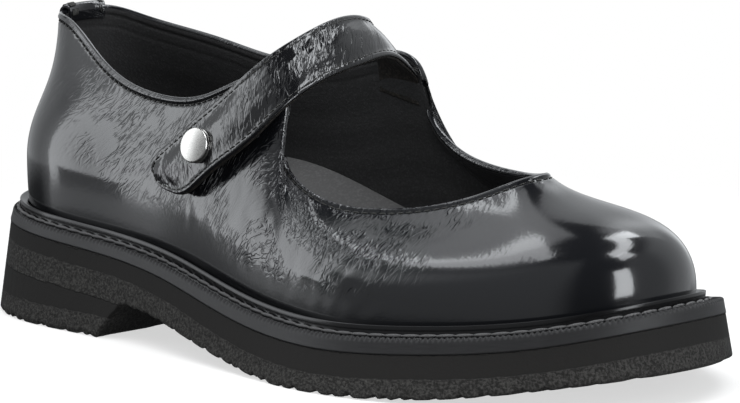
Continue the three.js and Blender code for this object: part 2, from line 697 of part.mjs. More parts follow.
/** Turned solid from a profile of radius and height, set in a frame. */
function turned(profile, sides, frame) {
  const geometry = new THREE.LatheGeometry(profile.map(([r, h]) => new THREE.Vector2(r, h)), sides);
  geometry.rotateX(Math.PI / 2);
  geometry.applyMatrix4(frame);
  geometry.deleteAttribute("normal");
  geometry.deleteAttribute("uv");
  return BufferGeometryUtils.mergeVertices(geometry, 1e-4);
}

const snapPlace = strapPlace(SNAP_ROW, 0.5);
const SNAP_FRAME = new THREE.Matrix4()
  .makeBasis(snapPlace.along, snapPlace.outward.clone().cross(snapPlace.along), snapPlace.outward)
  .setPosition(snapPlace.point.clone().sub(new THREE.Vector3(...PLAN_CENTRE, 0)));

const SOCKET_TOP = -STRAP_THICK - GAP - 0.1;

/** Cap of the snap: a flat face with a rolled rim, and its post through the strap. */
function snapCap() {
  const r = CAP_RADIUS;
  const low = GAP + 0.2;
  return turned([
    [0, -STRAP_THICK - 0.1], [1.5, -STRAP_THICK - 0.1], [1.5, low], [r - 0.5, low], [r, low + 0.5],
    [r, low + 1.2], [r - 0.35, CAP_HEIGHT - 0.15], [r - 1.1, CAP_HEIGHT + 0.1],
    [r - 1.9, CAP_HEIGHT - 0.25], [0, CAP_HEIGHT - 0.2],
  ], 28, SNAP_FRAME);
}

/** Socket of the snap, under the strap. */
function snapSocket() {
  const top = SOCKET_TOP;
  return turned([
    [0, top - 0.5], [2.3, top - 0.5], [2.6, top - 1.3], [5.0, top - 1.2], [5.2, top - 0.4],
    [4.6, top], [0, top],
  ], 20, SNAP_FRAME);
}

/** Stud of the snap, standing on the quarter and entering the socket. */
function snapStud() {
  const top = SOCKET_TOP - 0.5 - GAP;
  return turned([
    [0, top - 1.7], [4.4, top - 1.7], [4.2, top - 1.3], [1.6, top - 1.2], [1.5, top - 0.9],
    [1.9, top - 0.4], [1.4, top], [0, top],
  ], 20, SNAP_FRAME);
}

/** Folded tab sewn over the back of the collar. */
function heelTab() {
  const half = 8.5;
  const steps = 12;
  const skin = 1.1;
  const room = GAP + 0.2;
  const rows = [0.95, 0.975, 1];
  const loops = [];
  for (let i = 0; i <= steps; i += 1) {
    const along = ((i / steps * 2 - 1) * half + TOPLINE_LENGTH) % TOPLINE_LENGTH;
    const side = (out) => rows.map((up) => (
      upperPoint(along, up).addScaledVector(upperNormal(along, up), out)));
    const top = upperPoint(along, 1);
    const climb = top.clone().sub(upperPoint(along, 0.93)).normalize();
    const crest = (rise) => top.clone().addScaledVector(upperNormal(along, 1), -WALL / 2)
      .addScaledVector(climb, rise);
    const lift = (points) => points.map((p, k) => (k === 2 ? p.addScaledVector(climb, 0.5) : p));
    loops.push([
      ...lift(side(room + skin)), crest(WALL * 0.4 + 0.8 + skin),
      ...lift(side(-WALL - room - skin)).reverse(), ...lift(side(-WALL - room)),
      crest(WALL * 0.4 + 0.8), ...lift(side(room)).reverse(),
    ]);
  }
  return barLoft(loops);
}

// ---------------------------------------------------------------- assembly

const PATENT = new THREE.MeshStandardMaterial({ color: 0x0c0d10, roughness: 0.12, metalness: 0 });
const RUBBER = new THREE.MeshStandardMaterial({ color: 0x1b1b1c, roughness: 0.85, metalness: 0 });
const WELT = new THREE.MeshStandardMaterial({ color: 0x232427, roughness: 0.55, metalness: 0 });
const LINING = new THREE.MeshStandardMaterial({ color: 0x17171a, roughness: 0.7, metalness: 0 });
const STEEL = new THREE.MeshStandardMaterial({ color: 0xc9c8c4, roughness: 0.3, metalness: 1 });

const group = new THREE.Group();
const pieces = [
  ["outsole", outsole, RUBBER],
  ["welt", welt, WELT],
  ["upper", upper, PATENT],
  ["insole", insole, LINING],
  ["heel_tab", heelTab, PATENT],
  ["strap", strap, PATENT],
  ["snap_cap", snapCap, STEEL],
  ["snap_socket", snapSocket, STEEL],
  ["snap_stud", snapStud, STEEL],
];
for (const [name, make, material] of pieces) {
  const mesh = new THREE.Mesh(make(), material.clone());
  mesh.name = name;
  group.add(mesh);
}

export default group;
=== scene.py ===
"""Right-foot mary jane shoe: the looks of every piece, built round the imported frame.

The pieces are laid on the same last as the solids in the frame. The last is
described in millimetres in its own plan, x = 0 at the back of the heel, and
everything is moved to the frame's metres at the very end, by to_frame().
"""

import logging
import math
from collections.abc import Callable, Sequence
from dataclasses import dataclass, field
from enum import Enum

import bpy
import numpy as np
from mathutils import Matrix, Vector


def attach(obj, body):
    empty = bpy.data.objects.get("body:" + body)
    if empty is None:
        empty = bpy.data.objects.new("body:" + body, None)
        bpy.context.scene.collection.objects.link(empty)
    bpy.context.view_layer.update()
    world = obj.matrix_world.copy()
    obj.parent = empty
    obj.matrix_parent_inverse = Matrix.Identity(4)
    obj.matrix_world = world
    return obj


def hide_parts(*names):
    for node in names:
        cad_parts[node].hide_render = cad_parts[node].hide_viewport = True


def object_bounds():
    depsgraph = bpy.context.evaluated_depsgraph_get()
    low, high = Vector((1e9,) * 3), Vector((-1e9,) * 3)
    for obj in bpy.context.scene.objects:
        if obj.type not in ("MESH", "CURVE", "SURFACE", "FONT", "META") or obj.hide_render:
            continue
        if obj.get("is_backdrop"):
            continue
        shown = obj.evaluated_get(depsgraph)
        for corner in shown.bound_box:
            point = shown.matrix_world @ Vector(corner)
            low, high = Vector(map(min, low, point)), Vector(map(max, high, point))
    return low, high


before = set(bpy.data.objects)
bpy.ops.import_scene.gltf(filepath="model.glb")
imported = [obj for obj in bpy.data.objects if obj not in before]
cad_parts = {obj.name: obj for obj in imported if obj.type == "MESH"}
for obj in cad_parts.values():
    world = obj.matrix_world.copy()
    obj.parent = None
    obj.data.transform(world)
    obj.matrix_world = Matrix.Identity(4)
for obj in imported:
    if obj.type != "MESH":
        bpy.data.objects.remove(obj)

LOG = logging.getLogger("mary_jane")
BODY = "root"
MM = 0.001
PLAN_CENTRE = np.array([124.7, -3.6, 0.0])

Array = np.ndarray
Curve = Callable[[Array], Array]
Piece = bpy.types.Object
Colour = tuple[float, float, float]


# ------------------------------------------------------------------ the last

# Sections round the last, from the back of the heel along the outer side to
# the toe and back along the inner side: the ledge line's x and y, the upper's
# foot and widest line outside it, the widest line's height, the tangents
# above it and below the topline, and the lower one's angle from upright.
SECTION_COLUMNS = ("x", "y", "foot", "bulge", "belly", "full", "drop", "lean")
SECTIONS = (
    (0, 0, 2.0, 0.8, 15, 18, 22, 4),  # heel
    (7, -21.3, 1.6, 1.0, 16, 18, 20, 5),
    (27, -32.3, 0.8, 1.2, 17, 16, 14, 8),
    (55, -34.3, 0.2, 1.2, 17, 10, 12, 12),
    (85, -38.0, 0.0, 1.2, 17, 10, 12, 14),  # waist
    (115, -43.5, 0.0, 1.2, 16, 10, 14, 16),
    (145, -48.4, 0.0, 1.2, 14, 9, 12, 28),
    (172, -50.2, 0.0, 1.0, 13, 8, 9, 48),  # ball
    (200, -43.0, -0.1, 0.8, 10, 12, 15, 59),
    (226, -31.6, -0.5, 0.5, 6.5, 18, 20, 61),
    (244, -17.0, -0.8, 0.3, 4.0, 25, 20, 60),
    (251, 3.0, -1.2, 0.2, 3.5, 28, 19, 54),  # toe
    (246, 22.0, -1.2, 0.2, 3.5, 28, 19, 54),
    (229, 36.0, -0.9, 0.4, 5.0, 22, 17, 54),
    (203, 43.0, -0.3, 0.8, 8.0, 16, 18, 61),
    (175, 42.0, 0.0, 1.0, 13, 10, 12, 26),  # ball
    (145, 36.0, 0.0, 1.2, 15, 10, 13, 12),
    (115, 30.0, 0.0, 1.5, 17, 10, 14, 10),  # arch
    (85, 28.5, 0.0, 1.5, 18, 10, 14, 8),
    (55, 30.0, 0.2, 1.2, 17, 10, 14, 8),
    (27, 28.5, 0.8, 1.2, 17, 14, 16, 8),
    (7, 18.5, 1.6, 1.0, 16, 16, 20, 5),
)

# Landmarks of the topline: the section that the wall under each rises from,
# and its place.
TOPLINE = (
    (0.0, 4.0, 1.0, 93.5),  # back of the collar
    (0.5, 8.5, -12.0, 93.0),
    (1.0, 16.0, -16.0, 92.3),
    (1.5, 25.5, -19.0, 88.8),
    (2.0, 36.0, -22.5, 83.8),
    (2.75, 54.0, -27.5, 77.6),
    (3.5, 72.0, -30.3, 75.2),  # dip under the ankle
    (4.2, 90.0, -31.8, 76.4),
    (4.65, 104.0, -32.4, 81.4),
    (5.0, 114.5, -32.2, 85.7),
    (5.25, 122.0, -31.4, 87.2),  # tab under the strap
    (5.5, 128.3, -30.8, 84.8),
    (5.75, 129.6, -30.8, 78.0),
    (6.0, 128.8, -32.4, 68.7),
    (6.25, 131.2, -34.9, 61.8),
    (6.55, 138.8, -36.5, 56.4),
    (6.95, 150.7, -35.5, 51.8),
    (7.5, 164.1, -29.4, 50.4),  # lowest point of the throat
    (8.2, 179.3, -18.6, 52.2),
    (9.1, 191.0, -9.4, 56.4),
    (10.1, 198.3, -2.2, 60.1),
    (11.1, 200.3, 5.0, 61.0),  # front of the throat
    (12.2, 192.8, 12.8, 59.2),
    (13.2, 175.0, 20.8, 57.2),
    (14.1, 154.5, 25.2, 58.2),
    (14.75, 141.5, 28.0, 61.8),
    (15.3, 133.5, 29.0, 68.5),
    (15.75, 131.2, 28.8, 77.0),
    (16.15, 128.3, 28.0, 84.6),
    (16.55, 120.0, 27.4, 87.6),  # root of the strap
    (17.1, 107.0, 26.9, 85.2),
    (17.8, 88.0, 26.0, 81.2),
    (18.7, 66.0, 24.5, 81.8),
    (19.5, 46.0, 23.2, 85.3),
    (20.1, 31.0, 20.8, 87.8),
    (20.7, 18.0, 17.8, 90.3),
    (21.4, 8.2, 12.0, 93.1),
)

# Side view of the top of the welt, and of the underside.
SEAT_LINE = ((-15, 33.3), (0, 32.8), (50, 29.9), (90, 26.6), (130, 19.5),
             (165, 17.45), (200, 19.1), (230, 22.65), (265, 31.0))
TREAD_LINE = ((71, 11.6), (84, 10.6), (98, 8.1), (113, 5.1), (128, 2.5), (150, 0.0),
              (165, 0.0), (190, 0.6), (215, 2.9), (240, 7.0), (268, 11.8))
BREAST_LINE = ((60.0, 0.0), (66.0, 7.4), (71.0, 11.6))

# The strap's outer face, from its free tip to its sewn root: back edge, front
# edge, and the shares of the width between which there is leather.
STRAP = (
    (79.0, -41.2, 57.2, 90.4, -44.8, 42.4, 0.16, 0.42),
    (80.4, -41.2, 58.3, 91.8, -45.0, 43.5, 0.04, 0.58),
    (83.2, -41.1, 60.6, 94.6, -45.3, 45.7, 0.00, 0.78),
    (88.2, -40.9, 64.3, 99.6, -45.7, 49.6, 0.00, 0.97),
    (97.4, -40.5, 71.3, 109.0, -46.1, 57.0, 0.00, 1.00),
    (106.6, -39.5, 78.3, 118.0, -45.1, 63.4, 0.00, 1.00),
    (114.5, -38.0, 85.0, 125.5, -43.2, 69.4, 0.00, 1.00),
    (120.6, -34.4, 91.2, 131.4, -39.8, 76.2, 0.00, 1.00),
    (123.8, -27.2, 95.9, 134.6, -32.6, 81.7, 0.00, 1.00),
    (125.3, -17.0, 99.8, 135.8, -22.5, 85.9, 0.00, 1.00),
    (125.7, -7.5, 102.1, 136.5, -12.5, 88.4, 0.00, 1.00),
    (124.7, 2.0, 102.3, 136.2, -2.5, 90.0, 0.00, 1.00),
    (122.6, 10.0, 100.6, 134.6, 6.5, 90.4, 0.00, 1.00),
    (118.0, 16.8, 97.4, 132.2, 14.5, 88.8, 0.00, 1.00),
    (114.4, 22.3, 91.6, 130.1, 21.8, 85.0, 0.00, 1.00),
    (112.8, 26.2, 83.4, 128.6, 27.9, 79.2, 0.00, 1.00),
    (112.2, 27.5, 75.0, 128.0, 28.9, 71.6, 0.00, 1.00),
)


def cubic(knots: Array, values: Array, slopes: Array, at: Array) -> Array:
    """Cubic pieces through values with given slopes.

    Args:
        knots: rising places of the values.
        values: what the curve passes through.
        slopes: its slope at each of them.
        at: places between the first and the last knot.

    Returns:
        The curve's value at each place.
    """
    i = np.clip(np.searchsorted(knots, at, side="right") - 1, 0, len(knots) - 2)
    step = knots[i + 1] - knots[i]
    s = (at - knots[i]) / step
    start = (2 * s**3 - 3 * s**2 + 1) * values[i] + (s**3 - 2 * s**2 + s) * step * slopes[i]
    end = (3 * s**2 - 2 * s**3) * values[i + 1] + (s**3 - s**2) * step * slopes[i + 1]
    return start + end


def closed_curve(knots: Sequence[float], values: Sequence[float], period: float) -> Curve:
    """Smooth closed curve through values at rising knots, repeating after period."""
    k = np.asarray(knots, float)
    v = np.asarray(values, float)
    n = len(k)
    steps = np.append(k[1:], k[0] + period) - k
    matrix = np.zeros((n, n))
    right = np.zeros(n)
    for i in range(n):
        before = (i - 1) % n
        after = (i + 1) % n
        matrix[i, before] += steps[i]
        matrix[i, i] += 2 * (steps[before] + steps[i])
        matrix[i, after] += steps[before]
        right[i] = 3 * (steps[i] * (v[i] - v[before]) / steps[before]
                        + steps[before] * (v[after] - v[i]) / steps[i])
    slopes = np.linalg.solve(matrix, right)
    round_knots = np.append(k, k[0] + period)
    round_values = np.append(v, v[0])
    round_slopes = np.append(slopes, slopes[0])

    def curve(at: Array) -> Array:
        """Value at any place."""
        t = (np.asarray(at, float) - k[0]) % period + k[0]
        return cubic(round_knots, round_values, round_slopes, t)

    return curve


def open_curve(knots: Sequence[float], values: Sequence[float]) -> Curve:
    """Smooth open curve through values at rising knots, straight at its ends."""
    k = np.asarray(knots, float)
    v = np.asarray(values, float)
    n = len(k)
    steps = np.diff(k)
    rise = np.diff(v) / steps
    matrix = np.zeros((n, n))
    right = np.zeros(n)
    matrix[0, :2] = 2, 1
    matrix[-1, -2:] = 1, 2
    right[0] = 3 * rise[0]
    right[-1] = 3 * rise[-1]
    for i in range(1, n - 1):
        matrix[i, i - 1:i + 2] = steps[i], 2 * (steps[i - 1] + steps[i]), steps[i - 1]
        right[i] = 3 * (steps[i] * rise[i - 1] + steps[i - 1] * rise[i])
    slopes = np.linalg.solve(matrix, right)

    def curve(at: Array) -> Array:
        """Value at a place, held at the ends."""
        return cubic(k, v, slopes, np.clip(np.asarray(at, float), k[0], k[-1]))

    return curve


def unit(vectors: Array) -> Array:
    """Vectors brought to length one."""
    return vectors / np.maximum(np.linalg.norm(vectors, axis=-1, keepdims=True), 1e-9)


def bump(distance: Array, width: float) -> Array:
    """Smooth hump, 1 at distance 0."""
    return np.exp(-((distance / width) ** 2))


def ramp(value: Array, low: float, high: float) -> Array:
    """Smooth step from 0 at low to 1 at high."""
    t = np.clip((value - low) / (high - low), 0, 1)
    return t * t * (3 - 2 * t)


def to_frame(points: Array) -> Array:
    """Millimetres in the last's plan to metres in the frame."""
    return (points - PLAN_CENTRE) * MM


class Last:
    """The last, and the lines of the shoe that follow it."""

    lasting_drop = 4.7
    tuck = 1.2
    low_share = 0.3
    wall_thick = 2.0

    def __init__(self) -> None:
        """Fits the curves through the tables."""
        table = np.array(SECTIONS, float)
        self.count = len(table)
        knots = np.arange(self.count, dtype=float)
        self.section = {name: closed_curve(knots, table[:, i], self.count)
                        for i, name in enumerate(SECTION_COLUMNS)}
        marks = np.array(TOPLINE, float)
        hops = np.linalg.norm(np.roll(marks[:, 1:], -1, 0) - marks[:, 1:], axis=1)
        self.length = float(hops.sum())
        along = np.append(0, np.cumsum(hops)[:-1])
        self.top = [closed_curve(along, marks[:, i], self.length) for i in (1, 2, 3)]
        self.rate = self.count / self.length
        self.drift = closed_curve(along, marks[:, 0] - self.rate * along, self.length)
        self.seat = open_curve(*zip(*SEAT_LINE))
        self.tread = open_curve(*zip(*TREAD_LINE))

    @staticmethod
    def band(x: Array) -> Array:
        """Height of the welt's side band, lower at the heel."""
        return 3.9 + 1.1 * ramp(x, 30, 190)

    def springs(self, along: Array) -> Array:
        """Section that the wall under a point of the topline rises from."""
        return self.drift(along) + self.rate * np.asarray(along)

    def plan(self, at: Array, outside: Array) -> tuple[Array, Array]:
        """Plan point at a distance outside the ledge line.

        Args:
            at: section number, counted on between sections.
            outside: distance outside the ledge line.

        Returns:
            Its x and its y.
        """
        step = 1e-3
        x, y = self.section["x"], self.section["y"]
        dx = x(at + step) - x(at - step)
        dy = y(at + step) - y(at - step)
        length = np.hypot(dx, dy)
        return x(at) + outside * dy / length, y(at) - outside * dx / length

    def wall_outside(self, at: Array, above: Array) -> Array:
        """How far the upper stands outside the ledge line, low on the wall."""
        rise = self.section["belly"](at) + self.lasting_drop
        turn = np.arccos(np.clip(1 - (above + self.lasting_drop) / rise, 0, 1))
        return (self.section["foot"](at) - self.tuck
                + (self.section["bulge"](at) + self.tuck) * np.sin(turn))

    def wall(self, along: Array, up: Array) -> Array:
        """Outer face of the upper.

        Args:
            along: distance along the topline.
            up: share of the way up the wall, from the lasting edge to the topline.

        Returns:
            Points, the last axis being x, y and z.
        """
        along, up = np.broadcast_arrays(np.asarray(along, float), np.asarray(up, float))
        at = self.springs(along)
        foot, bulge = self.section["foot"](at), self.section["bulge"](at)
        base = self.seat(self.section["x"](at))
        belly = self.section["belly"](at)
        turn = np.clip(up / self.low_share, 0, 1) * np.pi / 2
        x, y = self.plan(at, foot - self.tuck + (bulge + self.tuck) * np.sin(turn))
        low = np.stack([x, y, base - self.lasting_drop
                        + (belly + self.lasting_drop) * (1 - np.cos(turn))], -1)
        x, y = self.plan(at, foot + bulge)
        widest = np.stack([x, y, base + belly], -1)
        top = np.stack([curve(along) for curve in self.top], -1)
        upright = np.array([0.0, 0.0, 1.0])
        second = widest + self.section["full"](at)[..., None] * upright
        inward = unit((top - widest) * [1, 1, 0])
        lean = np.radians(self.section["lean"](at))[..., None]
        third = top - self.section["drop"](at)[..., None] * (
            np.sin(lean) * inward + np.cos(lean) * upright)
        s = np.clip((up - self.low_share) / (1 - self.low_share), 0, 1)[..., None]
        high = ((1 - s)**3 * widest + 3 * s * (1 - s)**2 * second
                + 3 * s**2 * (1 - s) * third + s**3 * top)
        return np.where((up < self.low_share)[..., None], low, high)

    def even_along(self, count: int) -> Array:
        """Places along the topline, spread over topline and foot together, first one repeated last."""
        fine = np.linspace(0, self.length, 2401)
        steps = sum(np.linalg.norm(np.diff(self.wall(fine, up), axis=0), axis=1) for up in (0, 1))
        sums = np.append(0, np.cumsum(steps))
        return np.interp(np.linspace(0, sums[-1], count + 1), sums, fine)

    def even_sections(self, count: int, outside: float = 0.0) -> Array:
        """Sections spread evenly round the plan, first one repeated last."""
        fine = np.linspace(0, self.count, 2401)
        x, y = self.plan(fine, outside)
        sums = np.append(0, np.cumsum(np.hypot(np.diff(x), np.diff(y))))
        return np.interp(np.linspace(0, sums[-1], count + 1), sums, fine)


LAST = Last()


# ------------------------------------------------------------- making meshes

@dataclass
class Sheet:
    """A net of points in millimetres, columns by rows, and what its finish reads.

    flat holds the distances along and across in centimetres, which the
    finishes use to lay a pattern along the piece. masks are shares from 0 to 1.
    """

    points: Array
    flat: Array
    masks: dict[str, Array] = field(default_factory=dict)

    def normals(self, ring: bool) -> Array:
        """Direction of the columns crossed with the rows', at every point."""
        if ring:
            core = self.points[:-1]
            along = np.roll(core, -1, 0) - np.roll(core, 1, 0)
            along = np.concatenate([along, along[:1]])
        else:
            along = np.gradient(self.points, axis=0)
        return unit(np.cross(along, np.gradient(self.points, axis=1)))


def deselect() -> None:
    """Leaves nothing selected and object mode on."""
    if bpy.context.object and bpy.context.object.mode != "OBJECT":
        bpy.ops.object.mode_set(mode="OBJECT")
    bpy.ops.object.select_all(action="DESELECT")


def choose(*pieces: Piece) -> None:
    """Selects pieces alone, the first one active."""
    deselect()
    for piece in pieces:
        piece.select_set(True)
    bpy.context.view_layer.objects.active = pieces[0]


def points_of(piece: Piece) -> Array:
    """A mesh's points, as rows."""
    flat = np.empty(len(piece.data.vertices) * 3, np.float32)
    piece.data.vertices.foreach_get("co", flat)
    return flat.reshape(-1, 3).astype(float)


def lay_grid(name: str, sheet: Sheet, ring: bool = False, turned: bool = False) -> Piece:
    """Adds a grid and lays it on a sheet's points.

    Args:
        name: the piece's name.
        sheet: where the grid's points go.
        ring: the last column lies on the first, and is joined to it.
        turned: the faces point against the columns crossed with the rows.

    Returns:
        The new piece, smooth, with its flat map and masks.
    """
    columns, rows = sheet.points.shape[0] - 1, sheet.points.shape[1] - 1
    deselect()
    bpy.ops.mesh.primitive_grid_add(x_subdivisions=columns, y_subdivisions=rows, size=2.0)
    piece = bpy.context.active_object
    piece.name = name
    piece.data.name = name
    spot = points_of(piece)
    i = np.rint((spot[:, 0] + 1) / 2 * columns).astype(int)
    j = np.rint((spot[:, 1] + 1) / 2 * rows).astype(int)
    piece.data.vertices.foreach_set("co", to_frame(sheet.points[i, j]).astype(np.float32).ravel())
    corner = np.empty(len(piece.data.loops), np.int32)
    piece.data.loops.foreach_get("vertex_index", corner)
    flat = piece.data.uv_layers.active
    flat.name = "flat"
    flat.data.foreach_set("uv", sheet.flat[i, j][corner].astype(np.float32).ravel())
    for mask, values in sheet.masks.items():
        layer = piece.data.attributes.new(mask, "FLOAT", "POINT")
        layer.data.foreach_set("value", values[i, j].astype(np.float32))
    bpy.ops.object.mode_set(mode="EDIT")
    bpy.ops.mesh.select_all(action="SELECT")
    if turned:
        bpy.ops.mesh.flip_normals()
    if ring:
        bpy.ops.mesh.remove_doubles(threshold=2e-6)
    bpy.ops.object.mode_set(mode="OBJECT")
    bpy.ops.object.shade_smooth()
    return piece


def close_holes(piece: Piece) -> None:
    """Fills a piece's open ends and turns its faces out."""
    choose(piece)
    bpy.ops.object.mode_set(mode="EDIT")
    bpy.ops.mesh.select_all(action="SELECT")
    bpy.ops.mesh.remove_doubles(threshold=2e-6)
    bpy.ops.mesh.fill_holes(sides=0)
    bpy.ops.mesh.select_all(action="SELECT")
    bpy.ops.mesh.normals_make_consistent(inside=False)
    bpy.ops.object.mode_set(mode="OBJECT")


def finish_modifiers(piece: Piece) -> None:
    """Applies all of a piece's modifiers in their order."""
    choose(piece)
    for modifier in list(piece.modifiers):
        bpy.ops.object.modifier_apply(modifier=modifier.name)


def thicken(piece: Piece, thickness: float, rim_bevel: float = 0.0) -> None:
    """Gives a sheet a wall on its inner side.

    Args:
        piece: an open sheet whose faces point out.
        thickness: the wall, in millimetres.
        rim_bevel: rounding of the cut edges, in millimetres, or 0 for none.
    """
    wall = piece.modifiers.new("wall", "SOLIDIFY")
    wall.thickness = thickness * MM
    wall.offset = -1.0
    wall.use_even_offset = True
    if rim_bevel:
        rim = piece.modifiers.new("rim", "BEVEL")
        rim.width = rim_bevel * MM
        rim.segments = 2
        rim.limit_method = "ANGLE"
        rim.angle_limit = math.radians(60)
    finish_modifiers(piece)


def scatter(master: Piece, places: Sequence[Matrix], name: str) -> Piece:
    """Copies a small piece to many places and joins the copies.

    Args:
        master: the piece modelled once, at the origin, which is used up.
        places: where each copy goes, in the frame.
        name: the joined piece's name.

    Returns:
        The joined piece.
    """
    copies = []
    for place in places:
        copy = master.copy()
        copy.data = master.data.copy()
        copy.data.transform(place)
        bpy.context.scene.collection.objects.link(copy)
        copies.append(copy)
    bpy.data.objects.remove(master)
    choose(*copies)
    bpy.ops.object.join()
    joined = bpy.context.active_object
    joined.name = name
    joined.data.name = name
    return joined


def basis(origin: Array, forward: Array, outward: Array) -> Matrix:
    """Frame matrix with X along forward and Z as near outward as may be."""
    x = unit(np.asarray(forward, float))
    y = unit(np.cross(outward, x))
    z = np.cross(x, y)
    place = Matrix([(*row, 0.0) for row in np.array([x, y, z]).T.tolist()] + [(0, 0, 0, 1)])
    place.translation = Vector(to_frame(np.asarray(origin, float)).tolist())
    return place


def stitch(length: float, thick: float) -> Piece:
    """One stitch of thread along X, in millimetres, with eight faces round its middle."""
    deselect()
    bpy.ops.mesh.primitive_uv_sphere_add(segments=8, ring_count=6, radius=0.5 * MM,
                                         rotation=(0, math.pi / 2, 0))
    bpy.ops.object.transform_apply(location=False, rotation=True, scale=False)
    bpy.ops.object.mode_set(mode="EDIT")
    bpy.ops.mesh.select_all(action="SELECT")
    bpy.ops.transform.resize(value=(length, thick, thick))
    bpy.ops.object.mode_set(mode="OBJECT")
    bpy.ops.object.shade_smooth()
    return bpy.context.active_object


def sew(name: str, path: Array, outward: Array, pitch: float, length: float, thick: float,
        slant: float = 0.0) -> Piece:
    """A row of stitches along a path.

    Args:
        name: the piece's name.
        path: points in millimetres, close together.
        outward: the surface's direction at each of them.
        pitch: distance from one stitch to the next.
        length: length of a stitch.
        thick: thickness of the thread.
        slant: angle that each stitch turns off the path, in degrees.

    Returns:
        The joined stitches.
    """
    run = np.append(0, np.cumsum(np.linalg.norm(np.diff(path, axis=0), axis=1)))
    count = max(2, round(run[-1] / pitch))
    spots = (np.arange(count) + 0.5) * run[-1] / count
    ahead = unit(np.gradient(path, axis=0))
    places = []
    turn = Matrix.Rotation(math.radians(slant), 4, "Z")
    for spot in spots:
        middle, forward, out = (
            np.array([np.interp(spot, run, column) for column in values.T])
            for values in (path, ahead, outward))
        places.append(basis(middle, forward, out) @ turn)
    return scatter(stitch(length, thick), places, name)


# ------------------------------------------------------------------- finishes

class Nodes:
    """Shader nodes, added and linked by name."""

    def __init__(self, tree: bpy.types.NodeTree) -> None:
        """Starts on an emptied tree."""
        self.tree = tree
        tree.nodes.clear()

    def add(self, kind: str, inputs: dict | None = None, **settings) -> bpy.types.Node:
        """Adds a node.

        Args:
            kind: its type's name, without the word ShaderNode.
            inputs: sockets by name or number, each a value or a socket to link.
            settings: the node's own settings.

        Returns:
            The node.
        """
        node = self.tree.nodes.new("ShaderNode" + kind)
        for name, value in settings.items():
            setattr(node, name, value)
        for name, value in (inputs or {}).items():
            if isinstance(value, bpy.types.NodeSocket):
                self.tree.links.new(value, node.inputs[name])
            else:
                node.inputs[name].default_value = value
        return node

    def math(self, operation: str, *values: float | bpy.types.NodeSocket) -> bpy.types.NodeSocket:
        """Result of a Math node."""
        node = self.add("Math", dict(enumerate(values)), operation=operation)
        return node.outputs[0]

    def span(self, value: bpy.types.NodeSocket, low: float, high: float,
             start: float = 0.0, end: float = 1.0) -> bpy.types.NodeSocket:
        """Value mapped smoothly from low..high to start..end."""
        node = self.add("MapRange", {"Value": value, "From Min": low, "From Max": high,
                                     "To Min": start, "To Max": end},
                        interpolation_type="SMOOTHSTEP")
        return node.outputs[0]

    def flat(self, turn: float = 0.0, scale: tuple[float, float] = (1, 1)) -> bpy.types.NodeSocket:
        """Centimetres along and across the piece, turned by degrees and scaled."""
        here = self.add("UVMap", uv_map="flat").outputs[0]
        turned = self.add("Mapping", {"Vector": here, "Rotation": (0, 0, math.radians(turn))})
        scaled = self.add("Mapping", {"Vector": turned.outputs[0], "Scale": (*scale, 1)})
        return scaled.outputs[0]

    def place(self, scale: tuple[float, float, float] = (1, 1, 1)) -> bpy.types.NodeSocket:
        """Metres in the frame, scaled."""
        here = self.add("TexCoord").outputs["Object"]
        return self.add("Mapping", {"Vector": here, "Scale": scale}).outputs[0]

    def mask(self, name: str) -> bpy.types.NodeSocket:
        """A share kept on the piece's points."""
        return self.add("Attribute", attribute_name=name).outputs["Fac"]

    def noise(self, vector: bpy.types.NodeSocket, scale: float, detail: float = 2.0,
              rough: float = 0.5, bend: float = 0.0) -> bpy.types.NodeSocket:
        """Noise from 0 to 1."""
        node = self.add("TexNoise", {"Vector": vector, "Scale": scale, "Detail": detail,
                                     "Roughness": rough, "Distortion": bend})
        return node.outputs["Fac"]

    def creases(self, vector: bpy.types.NodeSocket, scale: float, width: float,
                bend: float = 0.0) -> bpy.types.NodeSocket:
        """Thin winding valleys, 1 on their floor."""
        off = self.math("ABSOLUTE", self.math("SUBTRACT", self.noise(vector, scale, 1.5, 0.5, bend), 0.5))
        return self.span(off, 0.0, width, 1.0, 0.0)

    def relief(self, height: bpy.types.NodeSocket, millimetres: float,
               after: bpy.types.NodeSocket | None = None) -> bpy.types.NodeSocket:
        """Normal of a surface raised by a height of 0 to 1 times so many millimetres."""
        inputs = {"Height": height, "Strength": 1.0, "Distance": millimetres * MM}
        if after is not None:
            inputs["Normal"] = after
        return self.add("Bump", inputs).outputs[0]

    def tint(self, share: bpy.types.NodeSocket, first: Colour, second: Colour) -> bpy.types.NodeSocket:
        """Colour between two, by a share."""
        node = self.add("Mix", {"Factor": share}, data_type="RGBA")
        node.inputs["A"].default_value = (*first, 1)
        node.inputs["B"].default_value = (*second, 1)
        return node.outputs["Result"]

    def close(self, **inputs) -> None:
        """Ends the material in a Principled surface, its sockets named with underscores."""
        sockets = {name.replace("_", " "): value for name, value in inputs.items()}
        surface = self.add("BsdfPrincipled", sockets)
        self.add("OutputMaterial", {"Surface": surface.outputs[0]})


